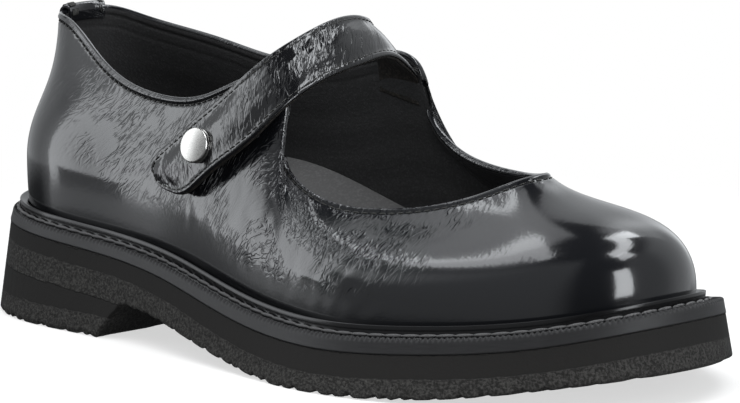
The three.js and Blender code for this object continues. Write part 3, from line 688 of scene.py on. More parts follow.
@dataclass(frozen=True)
class Patent:
    """Black patent leather, creased where it is masked as worked."""

    name: str = "black_patent"
    colour: Colour = (0.0052, 0.0056, 0.0068)
    turn: float = 62.0
    wave_turn: float = 62.0
    wave_scale: float = 0.9
    wave_depth: float = 0.02
    crease_depth: float = 0.11
    pebble_depth: float = 0.012

    def build(self, n: Nodes) -> None:
        """Lays out the material's nodes."""
        worked = n.mask("worked")
        long = n.creases(n.flat(self.turn, (0.7, 3.6)), 1.2, 0.085, 0.35)
        short = n.creases(n.flat(self.turn - 14, (0.9, 3.9)), 1.6, 0.10, 0.4)
        patches = n.span(n.noise(n.flat(), 0.7, 2.0), 0.40, 0.54, 0.12, 1.0)
        gaps = n.span(n.noise(n.flat(self.turn, (1.4, 2.6)), 1.3, 1.0), 0.42, 0.54)
        share = n.math("MULTIPLY", worked, patches)
        lines = n.math("MAXIMUM", n.math("MULTIPLY", long, gaps), n.math("MULTIPLY", short, 0.6))
        fine = n.math("MULTIPLY", share, lines)
        soft = n.math("MULTIPLY", worked, n.noise(n.flat(self.wave_turn, (0.7, 1.8)), self.wave_scale, 2.0))
        waves = n.relief(soft, self.wave_depth)
        cut = n.relief(n.math("SUBTRACT", 1.0, fine), self.crease_depth, waves)
        skin = n.relief(n.noise(n.place(), 900.0, 2.0), self.pebble_depth, cut)
        n.close(Base_Color=(*self.colour, 1), Roughness=0.16, Normal=skin,
                Coat_Weight=1.0, Coat_Roughness=0.045, Coat_Normal=skin)


@dataclass(frozen=True)
class Grained:
    """Matte black leather with a fine grain and soft wrinkles."""

    name: str
    colour: Colour
    lighter: Colour
    grain_mm: float = 1.1
    depth: float = 0.05
    wrinkle: float = 0.12
    roughness: float = 0.6

    def build(self, n: Nodes) -> None:
        """Lays out the material's nodes."""
        cell = n.add("TexVoronoi", {"Vector": n.place(), "Scale": 1 / (self.grain_mm * MM)},
                     feature="F1").outputs["Distance"]
        fine = n.noise(n.place(), 0.6 / (self.grain_mm * MM), 3.0)
        grain = n.math("MULTIPLY", n.math("SUBTRACT", 1.0, cell), fine)
        folds = n.noise(n.flat(0, (0.9, 4.0)), 1.3, 3.0, 0.55, 0.4)
        colour = n.tint(n.span(grain, 0.15, 0.5), self.colour, self.lighter)
        normal = n.relief(grain, self.depth * 3, n.relief(folds, self.wrinkle))
        n.close(Base_Color=colour, Roughness=self.roughness, Normal=normal,
                Specular_IOR_Level=0.35)


@dataclass(frozen=True)
class Foam:
    """Matte black foam with bands of open grain and a few tan specks."""

    name: str = "foam_sole"
    smooth: Colour = (0.0135, 0.0130, 0.0125)
    porous: Colour = (0.045, 0.044, 0.042)
    speck: Colour = (0.09, 0.06, 0.035)

    def build(self, n: Nodes) -> None:
        """Lays out the material's nodes."""
        place = n.place()
        edge = n.math("MULTIPLY", n.math("SUBTRACT", n.noise(place, 320.0, 4.0, 0.65), 0.5), 1.1)
        grainy = n.span(n.math("ADD", n.mask("grain"), edge), 0.35, 0.75)
        pores = n.noise(place, 1250.0, 3.0, 0.6)
        lumps = n.noise(place, 520.0, 2.0, 0.5)
        rough = n.math("MULTIPLY", n.math("ADD", pores, lumps), n.span(grainy, 0, 1, 0.16, 1.0))
        light = n.math("MULTIPLY", grainy, n.span(pores, 0.38, 0.66))
        base = n.tint(light, self.smooth, self.porous)
        spots = n.add("TexVoronoi", {"Vector": place, "Scale": 150.0}, feature="F1").outputs["Distance"]
        rare = n.span(n.noise(place, 90.0, 1.0), 0.66, 0.72)
        specks = n.math("MULTIPLY", rare, n.span(spots, 0.12, 0.05))
        colour = n.add("Mix", {"Factor": specks, "A": base}, data_type="RGBA")
        colour.inputs["B"].default_value = (*self.speck, 1)
        n.close(Base_Color=colour.outputs["Result"], Roughness=0.82,
                Specular_IOR_Level=0.3, Normal=n.relief(rough, 0.40))


@dataclass(frozen=True)
class WeltRubber:
    """Semi-matte rubber: a glossier rib, and a scuffed side band."""

    name: str = "welt_rubber"
    rib: Colour = (0.005, 0.005, 0.0055)
    band: Colour = (0.020, 0.020, 0.021)

    def build(self, n: Nodes) -> None:
        """Lays out the material's nodes."""
        scuffs = n.noise(n.flat(0, (0.8, 14.0)), 2.4, 4.0, 0.65)
        fine = n.noise(n.place(), 900.0, 2.0)
        band = n.mask("band")
        share = n.math("MULTIPLY", band, n.span(scuffs, 0.25, 0.75, 0.55, 1.0))
        roughness = n.span(band, 0.0, 0.5, 0.2, 0.5)
        height = n.math("ADD", n.math("MULTIPLY", scuffs, band), n.math("MULTIPLY", fine, 0.4))
        n.close(Base_Color=n.tint(share, self.rib, self.band), Roughness=roughness,
                Normal=n.relief(height, 0.05))


@dataclass(frozen=True)
class Thread:
    """Waxed thread, twisted."""

    name: str = "black_thread"
    colour: Colour = (0.016, 0.016, 0.015)

    def build(self, n: Nodes) -> None:
        """Lays out the material's nodes."""
        twist = n.add("TexWave", {"Vector": n.place(), "Scale": 900.0, "Distortion": 1.5}).outputs["Fac"]
        colour = n.tint(twist, self.colour, tuple(c * 2.6 for c in self.colour))
        n.close(Base_Color=colour, Roughness=0.45, Normal=n.relief(twist, 0.06))


@dataclass(frozen=True)
class Steel:
    """Satin plated steel."""

    name: str = "satin_steel"
    colour: Colour = (0.72, 0.71, 0.685)

    def build(self, n: Nodes) -> None:
        """Lays out the material's nodes."""
        wipe = n.noise(n.place((1, 1, 6)), 900.0, 3.0)
        colour = n.tint(wipe, self.colour, tuple(c * 0.9 for c in self.colour))
        n.close(Base_Color=colour, Metallic=1.0, Roughness=n.span(wipe, 0.2, 0.8, 0.24, 0.34),
                Normal=n.relief(wipe, 0.006))


class Dress(Enum):
    """The finishes that pieces are dressed in."""

    PATENT = Patent()
    CRUMPLED = Patent("crumpled_patent", (0.004, 0.0042, 0.005), 78.0, 14.0, 1.3, 0.55,
                      0.12, 0.008)
    LINING = Grained("lining_leather", (0.019, 0.019, 0.0195), (0.027, 0.027, 0.028), 0.8, 0.035, 0.10, 0.7)
    FOOTBED = Grained("footbed_leather", (0.064, 0.064, 0.065), (0.082, 0.082, 0.083), 0.9, 0.05, 0.05, 0.7)
    BACKING = Grained("strap_backing", (0.010, 0.009, 0.008), (0.026, 0.022, 0.018), 0.9, 0.09, 0.05, 0.8)
    FOAM = Foam()
    WELT = WeltRubber()
    THREAD = Thread()
    LOCK_THREAD = Thread("lock_thread", (0.040, 0.040, 0.041))
    STEEL = Steel()

    def on(self, piece: Piece) -> None:
        """Adds the finish as the piece's next material."""
        name = self.value.name
        made = bpy.data.materials.get(name)
        if made is None:
            made = bpy.data.materials.new(name)
            made.use_nodes = True
            self.value.build(Nodes(made.node_tree))
        piece.data.materials.append(made)


def settle(piece: Piece, slot: str, *stands_for: str) -> None:
    """Rides a finished piece on the shoe.

    Args:
        piece: the finished piece.
        slot: not used.
        stands_for: the frame's nodes that it replaces.
    """
    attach(piece, BODY)
    if stands_for:
        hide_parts(*stands_for)
    LOG.info("%s: %d faces", piece.name, len(piece.data.polygons))


# ---------------------------------------------------------------------- upper

@dataclass(frozen=True)
class Crease:
    """A soft trough between two places of the side view, on one side of the shoe."""

    start: tuple[float, float]
    end: tuple[float, float]
    depth: float
    width: float
    outer: bool = True


# Troughs where the shoe has been walked in: under the collar, at the strap's
# end and across the flex of the forepart, as x and z from foot to top.
CREASES = (
    Crease((104, 42), (99, 66), 0.10, 1.6),
    Crease((97, 38), (94, 58), 0.07, 1.3),
    Crease((112, 36), (109, 62), 0.09, 1.7),
    Crease((118, 33), (121, 60), 0.08, 1.5),
    Crease((126, 30), (125, 50), 0.11, 1.8),
    Crease((132, 33), (134, 52), 0.08, 1.4),
    Crease((139, 27), (141, 46), 0.10, 1.6),
    Crease((147, 25), (152, 44), 0.09, 1.5),
    Crease((156, 24), (164, 42), 0.12, 1.9),
    Crease((163, 23), (173, 41), 0.10, 1.5),
    Crease((170, 23), (181, 42), 0.11, 1.8),
    Crease((178, 23), (190, 44), 0.08, 1.6),
    Crease((160, 40), (186, 50), 0.10, 1.8),
    Crease((168, 36), (192, 50), 0.09, 1.7),
    Crease((60, 62), (72, 46), 0.05, 2.4),
    Crease((40, 70), (48, 52), 0.04, 2.6),
    Crease((150, 26), (153, 46), 0.10, 1.7, False),
    Crease((160, 25), (166, 46), 0.11, 1.8, False),
    Crease((170, 24), (178, 48), 0.10, 1.7, False),
    Crease((120, 32), (121, 60), 0.08, 1.8, False),
    Crease((100, 36), (97, 62), 0.06, 2.0, False),
)


@dataclass
class Upper:
    """Patent leather closed with its lining, folded and stitched at the topline."""

    columns: int = 640
    wall_rows: int = 92
    edge_rows: int = 22
    fold_rows: int = 9
    bead: float = 0.30
    groove: float = 0.40
    stitch_in: float = 1.7
    pitch: float = 2.7
    crease_share: float = 0.55
    lining_folds: float = 0.088

    def creased(self, points: Array) -> Array:
        """How far the leather sinks at each point, ridges beside the troughs counting less than 0."""
        x, y, z = np.moveaxis(points, -1, 0)
        sink = np.zeros_like(x)
        for crease in CREASES:
            start = np.array(crease.start)
            run = np.array(crease.end) - start
            size = float(np.hypot(*run))
            ahead = ((x - start[0]) * run[0] + (z - start[1]) * run[1]) / size
            aside = ((x - start[0]) * run[1] - (z - start[1]) * run[0]) / size
            aside = aside + 0.9 * np.sin(ahead * 0.35 + start[0])
            taper = ramp(ahead, -3, size * 0.3) * ramp(-ahead, -size - 3, -size * 0.7)
            side = (y < 0) if crease.outer else (y > 0)
            hollow = bump(aside, crease.width) - 0.45 * bump(np.abs(aside) - 2.1 * crease.width,
                                                             crease.width)
            sink += self.crease_share * crease.depth * taper * side * hollow
        return sink

    @staticmethod
    def worked(points: Array, down: Array) -> Array:
        """Share of fine creasing: the quarter, the flex of the forepart and the strap's end."""
        x, y, z = np.moveaxis(points, -1, 0)
        seat = LAST.seat(x)
        above = z - seat
        quarter = ramp(x, 22, 60) * ramp(-x, -150, -110) * ramp(above, 12, 26) * 0.8
        flex = ramp(x, 105, 128) * ramp(-x, -205, -170) * ramp(above, 8, 17)
        collar = bump(down - 5, 7.0) * ramp(x, 20, 40) * ramp(-x, -175, -140) * 0.8
        heel = 0.28 * ramp(-x, -60, -20) * ramp(above, 22, 40)
        toe = 0.05 * ramp(x, 180, 215)
        return np.clip(np.maximum.reduce([quarter, flex, collar, heel, toe]), 0, 1)

    def build(self) -> None:
        """Makes the leather, its lining and the row of stitches."""
        along = LAST.even_along(self.columns)
        up = np.append(np.linspace(0, 0.93, self.wall_rows, endpoint=False),
                       np.linspace(0.93, 1, self.edge_rows))
        base = LAST.wall(along[:, None], up[None, :])
        net = Sheet(base, np.zeros((*base.shape[:2], 2)))
        out = net.normals(ring=True)
        climbs = np.linalg.norm(np.diff(base, axis=1), axis=-1)
        down = np.concatenate([np.cumsum(climbs[:, ::-1], 1)[:, ::-1], np.zeros((len(base), 1))], 1)
        top_steps = np.linalg.norm(np.diff(base[:, -1], axis=0), axis=1)
        around = np.append(0, np.cumsum(top_steps))
        beat = np.cos(2 * np.pi * around / self.pitch)[:, None]
        drift = np.cos(around * 0.9)[:, None] * np.cos(around * 0.37 + 1.0)[:, None]
        raise_by = self.bead * bump(down - 0.5, 0.55)
        raise_by = raise_by - self.groove * bump(down - self.stitch_in, 0.5) * (0.75 + 0.25 * beat)
        pucker = 0.10 * (0.6 * beat + 0.4 * drift) * np.exp(-(down - self.stitch_in) / 1.8)
        raise_by = raise_by + pucker * (down > self.stitch_in)
        raise_by = raise_by - self.creased(base) * ramp(down, 3, 8)
        outer = base + out * raise_by[..., None]
        outer = np.concatenate([outer, self.fold(outer[:, -1], out[:, -1], base)], 1)
        flat_down = np.concatenate([down, np.repeat(-np.linspace(0.3, 3, self.fold_rows)[None, :],
                                                    len(base), 0)], 1)
        flat = np.stack(np.broadcast_arrays(around[:, None], flat_down), -1) / 10
        worked = self.worked(outer, flat_down)
        leather = lay_grid("upper_leather", Sheet(outer, flat, {"worked": worked}), ring=True)
        Dress.PATENT.on(leather)
        settle(leather, "upper", "upper")
        self.line(along, around)
        row = self.edge_line(along, self.stitch_in, -0.12)
        thread = sew("upper_stitches", row[0], row[1], self.pitch, 2.1, 0.42)
        Dress.THREAD.on(thread)
        settle(thread, "upper")

    def fold(self, edge: Array, out: Array, base: Array) -> Array:
        """Leather turned over the topline, from the outer edge to just inside."""
        climb = unit(base[:, -1] - base[:, -3])
        half = LAST.wall_thick / 2
        turn = np.linspace(0, math.pi, self.fold_rows + 1)[1:]
        middle = edge - out * half
        ring = (np.cos(turn)[None, :, None] * out[:, None] * half
                + np.sin(turn)[None, :, None] * climb[:, None] * half * 0.85)
        return middle[:, None] + ring

    @staticmethod
    def edge_line(along: Array, down: float, raised: float) -> tuple[Array, Array]:
        """Line at a distance below the topline.

        Args:
            along: places along the topline.
            down: distance below it, over the leather.
            raised: distance outside the leather, less than 0 for sunk.

        Returns:
            The line's points and the outward directions there.
        """
        top = LAST.wall(along, 1.0)
        below = LAST.wall(along, 0.97)
        share = 0.03 * down / np.linalg.norm(top - below, axis=1)
        point = LAST.wall(along, 1 - share)
        ahead = np.gradient(point, axis=0)
        ahead[0] = ahead[-1] = point[1] - point[-2]
        out = unit(np.cross(ahead, top - below))
        return point + out * raised, out

    def line(self, along: Array, around: Array) -> None:
        """Lining from under the fold down past the footbed, with its own folded edge."""
        every = along[::2]
        reach = around[::2]
        up = np.append(np.linspace(0.1, 0.9, 44, endpoint=False), np.linspace(0.9, 1, 20))
        base = LAST.wall(every[:, None], up[None, :])
        out = Sheet(base, base).normals(ring=True)
        climbs = np.linalg.norm(np.diff(base, axis=1), axis=-1)
        down = np.concatenate([np.cumsum(climbs[:, ::-1], 1)[:, ::-1], np.zeros((len(base), 1))], 1)
        folds = np.sin(down * 0.55 + 2.2 * np.sin(reach * 0.021)[:, None]) * ramp(down, 9, 16)
        lines = 0.2 * bump(down - 1.0, 0.8) - 0.3 * bump(down - self.stitch_in - 0.5, 0.45)
        lines = lines - 0.14 * bump(down - 6.0, 0.6)
        inner = base - out * (LAST.wall_thick + self.lining_folds * folds + lines)[..., None]
        flat = np.stack(np.broadcast_arrays(reach[:, None], down), -1) / 10
        lining = lay_grid("upper_lining", Sheet(inner, flat), ring=True, turned=True)
        Dress.LINING.on(lining)
        settle(lining, "upper")


# ---------------------------------------------------------------- strap, snap

# Cross folds of the strap: how far each lies from the tip, how much it slants
# and how deep it is, in millimetres.
STRAP_FOLDS = (
    (52, 0.5, 0.20), (57, 0.2, 0.26), (62, -0.2, 0.22), (67, 0.4, 0.28), (72, 0.0, 0.20),
    (78, -0.3, 0.22), (30, 0.5, 0.14), (9, -0.6, 0.20), (14, 0.5, 0.16), (100, 0.2, 0.12),
)


@dataclass
class Strap:
    """Two layers sewn round their edge, from a round tip to the root inside the quarter."""

    thick: float = 2.2
    steps: int = 300
    across: int = 34
    stitch_in: float = 1.75
    pitch: float = 2.5
    snap_row: float = 4.03
    root_thin: float = 0.45
    root_row: float = 14.2
    fold_width: float = 1.5

    def __post_init__(self) -> None:
        """Fits curves through the strap's rows."""
        table = np.array(STRAP, float)
        knots = np.arange(len(table), dtype=float)
        self.curves = [open_curve(knots, table[:, i]) for i in range(table.shape[1])]
        self.last_row = len(table) - 1.0

    def edges(self, row: Array) -> tuple[Array, Array]:
        """Back and front edge of the outer face."""
        values = [curve(row) for curve in self.curves[:6]]
        return np.stack(values[:3], -1), np.stack(values[3:], -1)

    def face(self, row: Array, share: Array) -> tuple[Array, Array, Array]:
        """Point of the outer face, with the directions along and out of it."""
        row, share = np.broadcast_arrays(np.asarray(row, float), np.asarray(share, float))

        def at(r: Array) -> Array:
            """Point at a row, at the same share of the width."""
            back, front = self.edges(r)
            return back + (front - back) * share[..., None]

        step = 0.05
        low = np.clip(row - step, 0, self.last_row)
        high = np.clip(row + step, 0, self.last_row)
        along = unit(at(high) - at(low))
        back, front = self.edges(row)
        return at(row), along, unit(np.cross(unit(front - back), along))

    def kept(self, row: Array) -> tuple[Array, Array]:
        """Shares of the width that the leather starts and ends at."""
        return np.clip(self.curves[6](row), 0, 1), np.clip(self.curves[7](row), 0, 1)

    def rows(self) -> Array:
        """Places along the strap, closer together at the tip."""
        tip = np.linspace(0, 3, 60, endpoint=False)
        return np.append(tip, np.linspace(3, self.last_row, self.steps - 59))

    def build(self) -> None:
        """Makes the two layers, their stitches and the loose thread at the root."""
        row = self.rows()
        first, last = self.kept(row)
        self.layer("strap_leather", row, first, last, 0.0, self.thick * 0.55, Dress.CRUMPLED, True)
        self.layer("strap_backing", row, first, last, self.thick * 0.5, self.thick, Dress.BACKING, False)
        self.sew_edges(row, first, last)
        self.tuft()

    def layer(self, name: str, row: Array, first: Array, last: Array, top: float, bottom: float,
              dress: Dress, crowned: bool) -> None:
        """Makes one layer between two depths below the outer face.

        Args:
            name: the piece's name.
            row: places along the strap.
            first: share of the width it starts at, for each row.
            last: share it ends at.
            top: depth of its upper face.
            bottom: depth of its lower face.
            dress: its finish.
            crowned: the face is padded, grooved along its stitches and creased.
        """
        back, front = self.edges(row)
        width = np.linalg.norm(front - back, axis=1)[:, None]
        half = self.across // 2
        face = 0.5 - 0.5 * np.cos(np.linspace(0, math.pi, half + 1))
        loop = np.concatenate([face, face[::-1]])[None, :]
        share = first[:, None] + (last - first)[:, None] * loop
        point, along, out = self.face(row[:, None], share)
        from_edge = np.minimum(share - first[:, None], last[:, None] - share) * width
        upper_side = (np.arange(loop.shape[1]) <= half)[None, :]
        round_off = 0.5 * (bottom - top) * (1 - np.sqrt(np.clip(1 - (1 - from_edge / 0.7)**2, 0, 1)))
        round_off = np.where(from_edge < 0.7, round_off, 0)
        depth = np.where(upper_side, top + round_off, bottom - round_off)
        depth = depth * (1 - self.root_thin * ramp(row[:, None], 13.5, 15))
        run = np.append(0, np.cumsum(np.linalg.norm(np.diff((back + front) / 2, axis=0), axis=1)))
        if crowned:
            depth = depth - np.where(upper_side, self.relief(run[:, None], from_edge, row[:, None]), 0)
        points = point - out * depth[..., None]
        flat = np.stack(np.broadcast_arrays(run[:, None], share * width), -1) / 10
        worked = np.broadcast_to(0.35 + 0.65 * bump(run[:, None] - 62, 20)
                                 + 0.4 * bump(run[:, None] - 10, 16), share.shape)
        points = np.concatenate([points, points[:, :1]], 1)
        flat = np.concatenate([flat, flat[:, :1]], 1)
        worked = np.concatenate([worked, worked[:, :1]], 1)
        piece = lay_grid(name, Sheet(points, flat, {"worked": np.clip(worked, 0, 1)}))
        close_holes(piece)
        dress.on(piece)
        settle(piece, "strap", *(["strap"] if crowned else []))

    def relief(self, run: Array, from_edge: Array, row: Array) -> Array:
        """Height of the face: folded edge, stitch groove, soft middle and cross creases."""
        beat = np.cos(2 * np.pi * run / self.pitch)
        edge = 0.22 * bump(from_edge - 0.9, 0.6)
        groove = 0.38 * bump(from_edge - self.stitch_in, 0.4) * (0.75 + 0.25 * beat)
        middle = 0.75 * ramp(from_edge, 1.9, 7.5)
        folds = np.zeros_like(run + from_edge)
        for place, slant, depth in STRAP_FOLDS:
            folds = folds + depth * bump(run - place - slant * from_edge, self.fold_width)
        seat = 0.3 * bump(row - self.snap_row, 0.75)
        return edge - groove + middle - folds * ramp(from_edge, 1.2, 3.5) - seat * ramp(from_edge, 1, 4)

    def sew_edges(self, row: Array, first: Array, last: Array) -> None:
        """Stitches round the strap, a little in from its edge."""
        back, front = self.edges(row)
        inset = self.stitch_in / np.linalg.norm(front - back, axis=1)
        keep = row > 0.35
        low = np.minimum(first + inset, (first + last) / 2)[keep]
        high = np.maximum(last - inset, (first + last) / 2)[keep]
        rows = row[keep]
        tip = np.linspace(0, 1, 14)[1:-1]
        path = [self.face(rows[::-1], low[::-1]),
                self.face(np.full(12, rows[0]), low[0] + (high[0] - low[0]) * tip),
                self.face(rows, high)]
        points = np.concatenate([part[0] for part in path])
        out = np.concatenate([part[2] for part in path])
        thread = sew("strap_stitches", points + out * 0.02, out, self.pitch, 2.0, 0.40)
        Dress.THREAD.on(thread)
        settle(thread, "strap")

    def tuft(self) -> None:
        """A few cut ends of thread where the strap's front edge enters the quarter."""
        point, _, out = self.face(np.array([self.root_row]), np.array([1.0]))
        aside = Vector((0.9, 0.15, -0.25))
        places = []
        for turn, lift in ((-35, 10), (-12, 35), (8, -15), (25, 22), (48, 5)):
            spin = Matrix.Rotation(math.radians(turn), 4, "Y") @ Matrix.Rotation(math.radians(lift), 4, "Z")
            forward = np.array(spin @ aside)[:3]
            places.append(basis(point[0] + forward * 1.1, forward, out[0]))
        ends = scatter(stitch(3.0, 0.2), places, "strap_thread_ends")
        Dress.THREAD.on(ends)
        settle(ends, "strap")

    def snap_place(self) -> Matrix:
        """Where the snap stands, X along the strap and Z out of it."""
        point, along, out = self.face(np.array([self.snap_row]), np.array([0.5]))
        return basis(point[0], along[0], out[0])


@dataclass
class Snap:
    """Cap with a rolled rim on the strap, and socket and stud below it."""

    place: Matrix
    radius: float = 5.4
    strap_thick: float = 2.2
    gap: float = 0.3
    tilt: float = 10.0
    lift: float = 0.7

    def cap_place(self) -> Matrix:
        """The cap leans a little on its post, towards the strap's front edge."""
        lean = Matrix.Rotation(math.radians(self.tilt), 4, Vector((0.65, 0.76, 0)))
        return self.place @ Matrix.Translation((0, 0, self.lift * MM)) @ lean

    def turned(self, name: str, place: Matrix, profile: Sequence[tuple[float, float]],
               bevel: float, *stands_for: str) -> None:
        """Turns a closed profile of radius and height round an axis.

        Args:
            name: the piece's name.
            place: where its axis stands.
            profile: radius and height in millimetres, from the axis back to it.
            bevel: rounding of the turned edges, in millimetres.
            stands_for: the frame's nodes that it replaces.
        """
        deselect()
        bpy.ops.mesh.primitive_circle_add(vertices=len(profile), radius=MM)
        piece = bpy.context.active_object
        piece.name = name
        piece.data.name = name
        line = np.array([(r, 0.0, h) for r, h in profile]) * MM
        piece.data.vertices.foreach_set("co", line.astype(np.float32).ravel())
        bpy.ops.object.mode_set(mode="EDIT")
        bpy.ops.mesh.select_all(action="SELECT")
        bpy.ops.mesh.spin(steps=72, angle=2 * math.pi, center=(0, 0, 0), axis=(0, 0, 1))
        bpy.ops.mesh.select_all(action="SELECT")
        bpy.ops.mesh.remove_doubles(threshold=1e-6)
        bpy.ops.mesh.select_all(action="SELECT")
        bpy.ops.mesh.normals_make_consistent(inside=False)
        bpy.ops.object.mode_set(mode="OBJECT")
        soften = piece.modifiers.new("soften", "BEVEL")
        soften.width = bevel * MM
        soften.segments = 3
        soften.limit_method = "ANGLE"
        soften.angle_limit = math.radians(25)
        finish_modifiers(piece)
        piece.data.transform(place)
        choose(piece)
        bpy.ops.object.shade_smooth_by_angle(angle=math.radians(40))
        Dress.STEEL.on(piece)
        settle(piece, "snap", *stands_for)

    def build(self) -> None:
        """Makes cap, socket and stud."""
        r, low = self.radius, self.gap + 0.2
        foot = -self.strap_thick - 0.1
        self.turned("snap_cap_face", self.cap_place(), (
            (0, foot), (1.5, foot), (1.5, low), (r - 0.7, low), (r - 0.15, low + 0.25),
            (r, low + 0.7), (r, low + 1.25), (r - 0.2, 2.12), (r - 0.55, 2.24), (0, 2.26)),
            0.10, "snap_cap")
        self.turned("snap_cap_washer", self.place, (
            (1.6, 0.0), (r - 0.5, 0.0), (r - 0.1, 0.15), (r - 0.1, 0.4), (r - 0.5, 0.62), (1.6, 0.62)),
            0.08)
        top = -self.strap_thick - self.gap - 0.1
        self.turned("snap_socket_ring", self.place, (
            (0, top - 0.5), (2.3, top - 0.5), (2.6, top - 1.3), (5.0, top - 1.2), (5.2, top - 0.4),
            (4.6, top), (0, top)), 0.12, "snap_socket")
        top -= 0.5 + self.gap
        self.turned("snap_stud_post", self.place, (
            (0, top - 1.7), (4.4, top - 1.7), (4.2, top - 1.3), (1.6, top - 1.2), (1.5, top - 0.9),
            (1.9, top - 0.4), (1.4, top), (0, top)), 0.1, "snap_stud")


# ----------------------------------------------------------------------- welt

@dataclass
class Welt:
    """Rubber strip: rib against the upper, stitched groove, knurled edge and side band."""

    edge_out: float = 7.0
    band_out: float = 8.0
    rib_height: float = 3.1
    rib_width: float = 2.6
    knurls: int = 368
    knurl_depth: float = 0.55
    stitch_pitch: float = 5.6

    def build(self) -> None:
        """Makes the strip and its lock stitches."""
        count = self.knurls * 6
        at = LAST.even_sections(count, self.edge_out)
        rib = LAST.wall_outside(at, np.full_like(at, self.rib_height)) + 0.1
        x, y = LAST.plan(at, self.edge_out)
        around = np.append(0, np.cumsum(np.hypot(np.diff(x), np.diff(y))))
        teeth = 0.5 + 0.5 * np.cos(2 * np.pi * np.arange(count + 1) / 6)
        floor = rib + self.rib_width
        width = self.edge_out - floor
        low = -LAST.band(LAST.section["x"](at))
        edge = self.edge_out + 0 * at
        side = self.band_out + 0 * at
        rows = (
            # outside, above, share of the knurling, share of the band's finish
            (rib - 0.1, -1.5, 0, 0),
            (rib, 0.6, 0, 0),
            (rib + 0.03, 1.8, 0, 0),
            (rib + 0.2, 2.15, 0, 0),
            (rib + 0.6, 2.35, 0, 0),
            (rib + 1.2, 2.65, 0, 0),
            (rib + 1.9, 2.95, 0, 0),
            (rib + 2.42, 3.09, 0, 0),
            (rib + 2.62, 3.02, 0, 0),
            (rib + 2.71, 2.84, 0, 0),
            (rib + 2.62, 1.6, 0, 0),
            (floor - 0.18, 0.4, 0, 0),
            (floor + 0.15, -0.1, 0, 0),
            (floor + 0.36 * width, -0.2, 0, 0),
            (floor + 0.46 * width, -0.65, 0, 0.1),
            (floor + 0.54 * width, -0.85, 0.1, 0.2),
            (floor + 0.62 * width, -0.40, 0.8, 0.5),
            (floor + 0.70 * width, 0.05, 1, 0.7),
            (floor + 0.80 * width, 0.2, 1, 0.9),
            (floor + 0.90 * width, 0.15, 1, 1),
            (edge - 0.12, -0.10, 1, 1),
            (edge + 0.08, -0.50, 0.8, 1),
            (edge + 0.18, -0.95, 0.15, 1),
            (edge + 0.30, -1.6, 0, 1),
            (edge + 0.52, 0.6 * low, 0, 1),
            (side - 0.20, low + 0.7, 0, 1),
            (side - 0.12, low + 0.3, 0, 0.9),
            (side - 0.45, low + 0.05, 0, 0.5),
            (side - 3.0, low + 0.02, 0, 0),
        )
        points, band, across = [], [], []
        for k, (outside, above, knurled, share) in enumerate(rows):
            px, py = LAST.plan(at, outside - 0.25 * self.knurl_depth * teeth * knurled)
            lift = above - self.knurl_depth * teeth * knurled
            points.append(np.stack([px, py, LAST.seat(px) + lift], -1))
            band.append(np.full_like(at, share))
            across.append(np.full_like(at, k * 0.06))
        net = Sheet(np.stack(points, 1), np.stack([np.repeat(around[:, None] / 10, len(rows), 1),
                                                   np.stack(across, 1)], -1),
                    {"band": np.stack(band, 1)})
        strip = lay_grid("welt_strip", net, ring=True, turned=True)
        Dress.WELT.on(strip)
        settle(strip, "welt", "welt")
        px, py = LAST.plan(at, floor + 0.26 * width)
        path = np.stack([px, py, LAST.seat(px) + 0.3], -1)
        out = np.tile([0.0, 0.0, 1.0], (len(path), 1))
        thread = sew("welt_stitches", path[::6], out[::6], self.stitch_pitch, 6.0, 1.15, 7.0)
        Dress.LOCK_THREAD.on(thread)
        settle(thread, "welt")


# ----------------------------------------------------------------------- sole

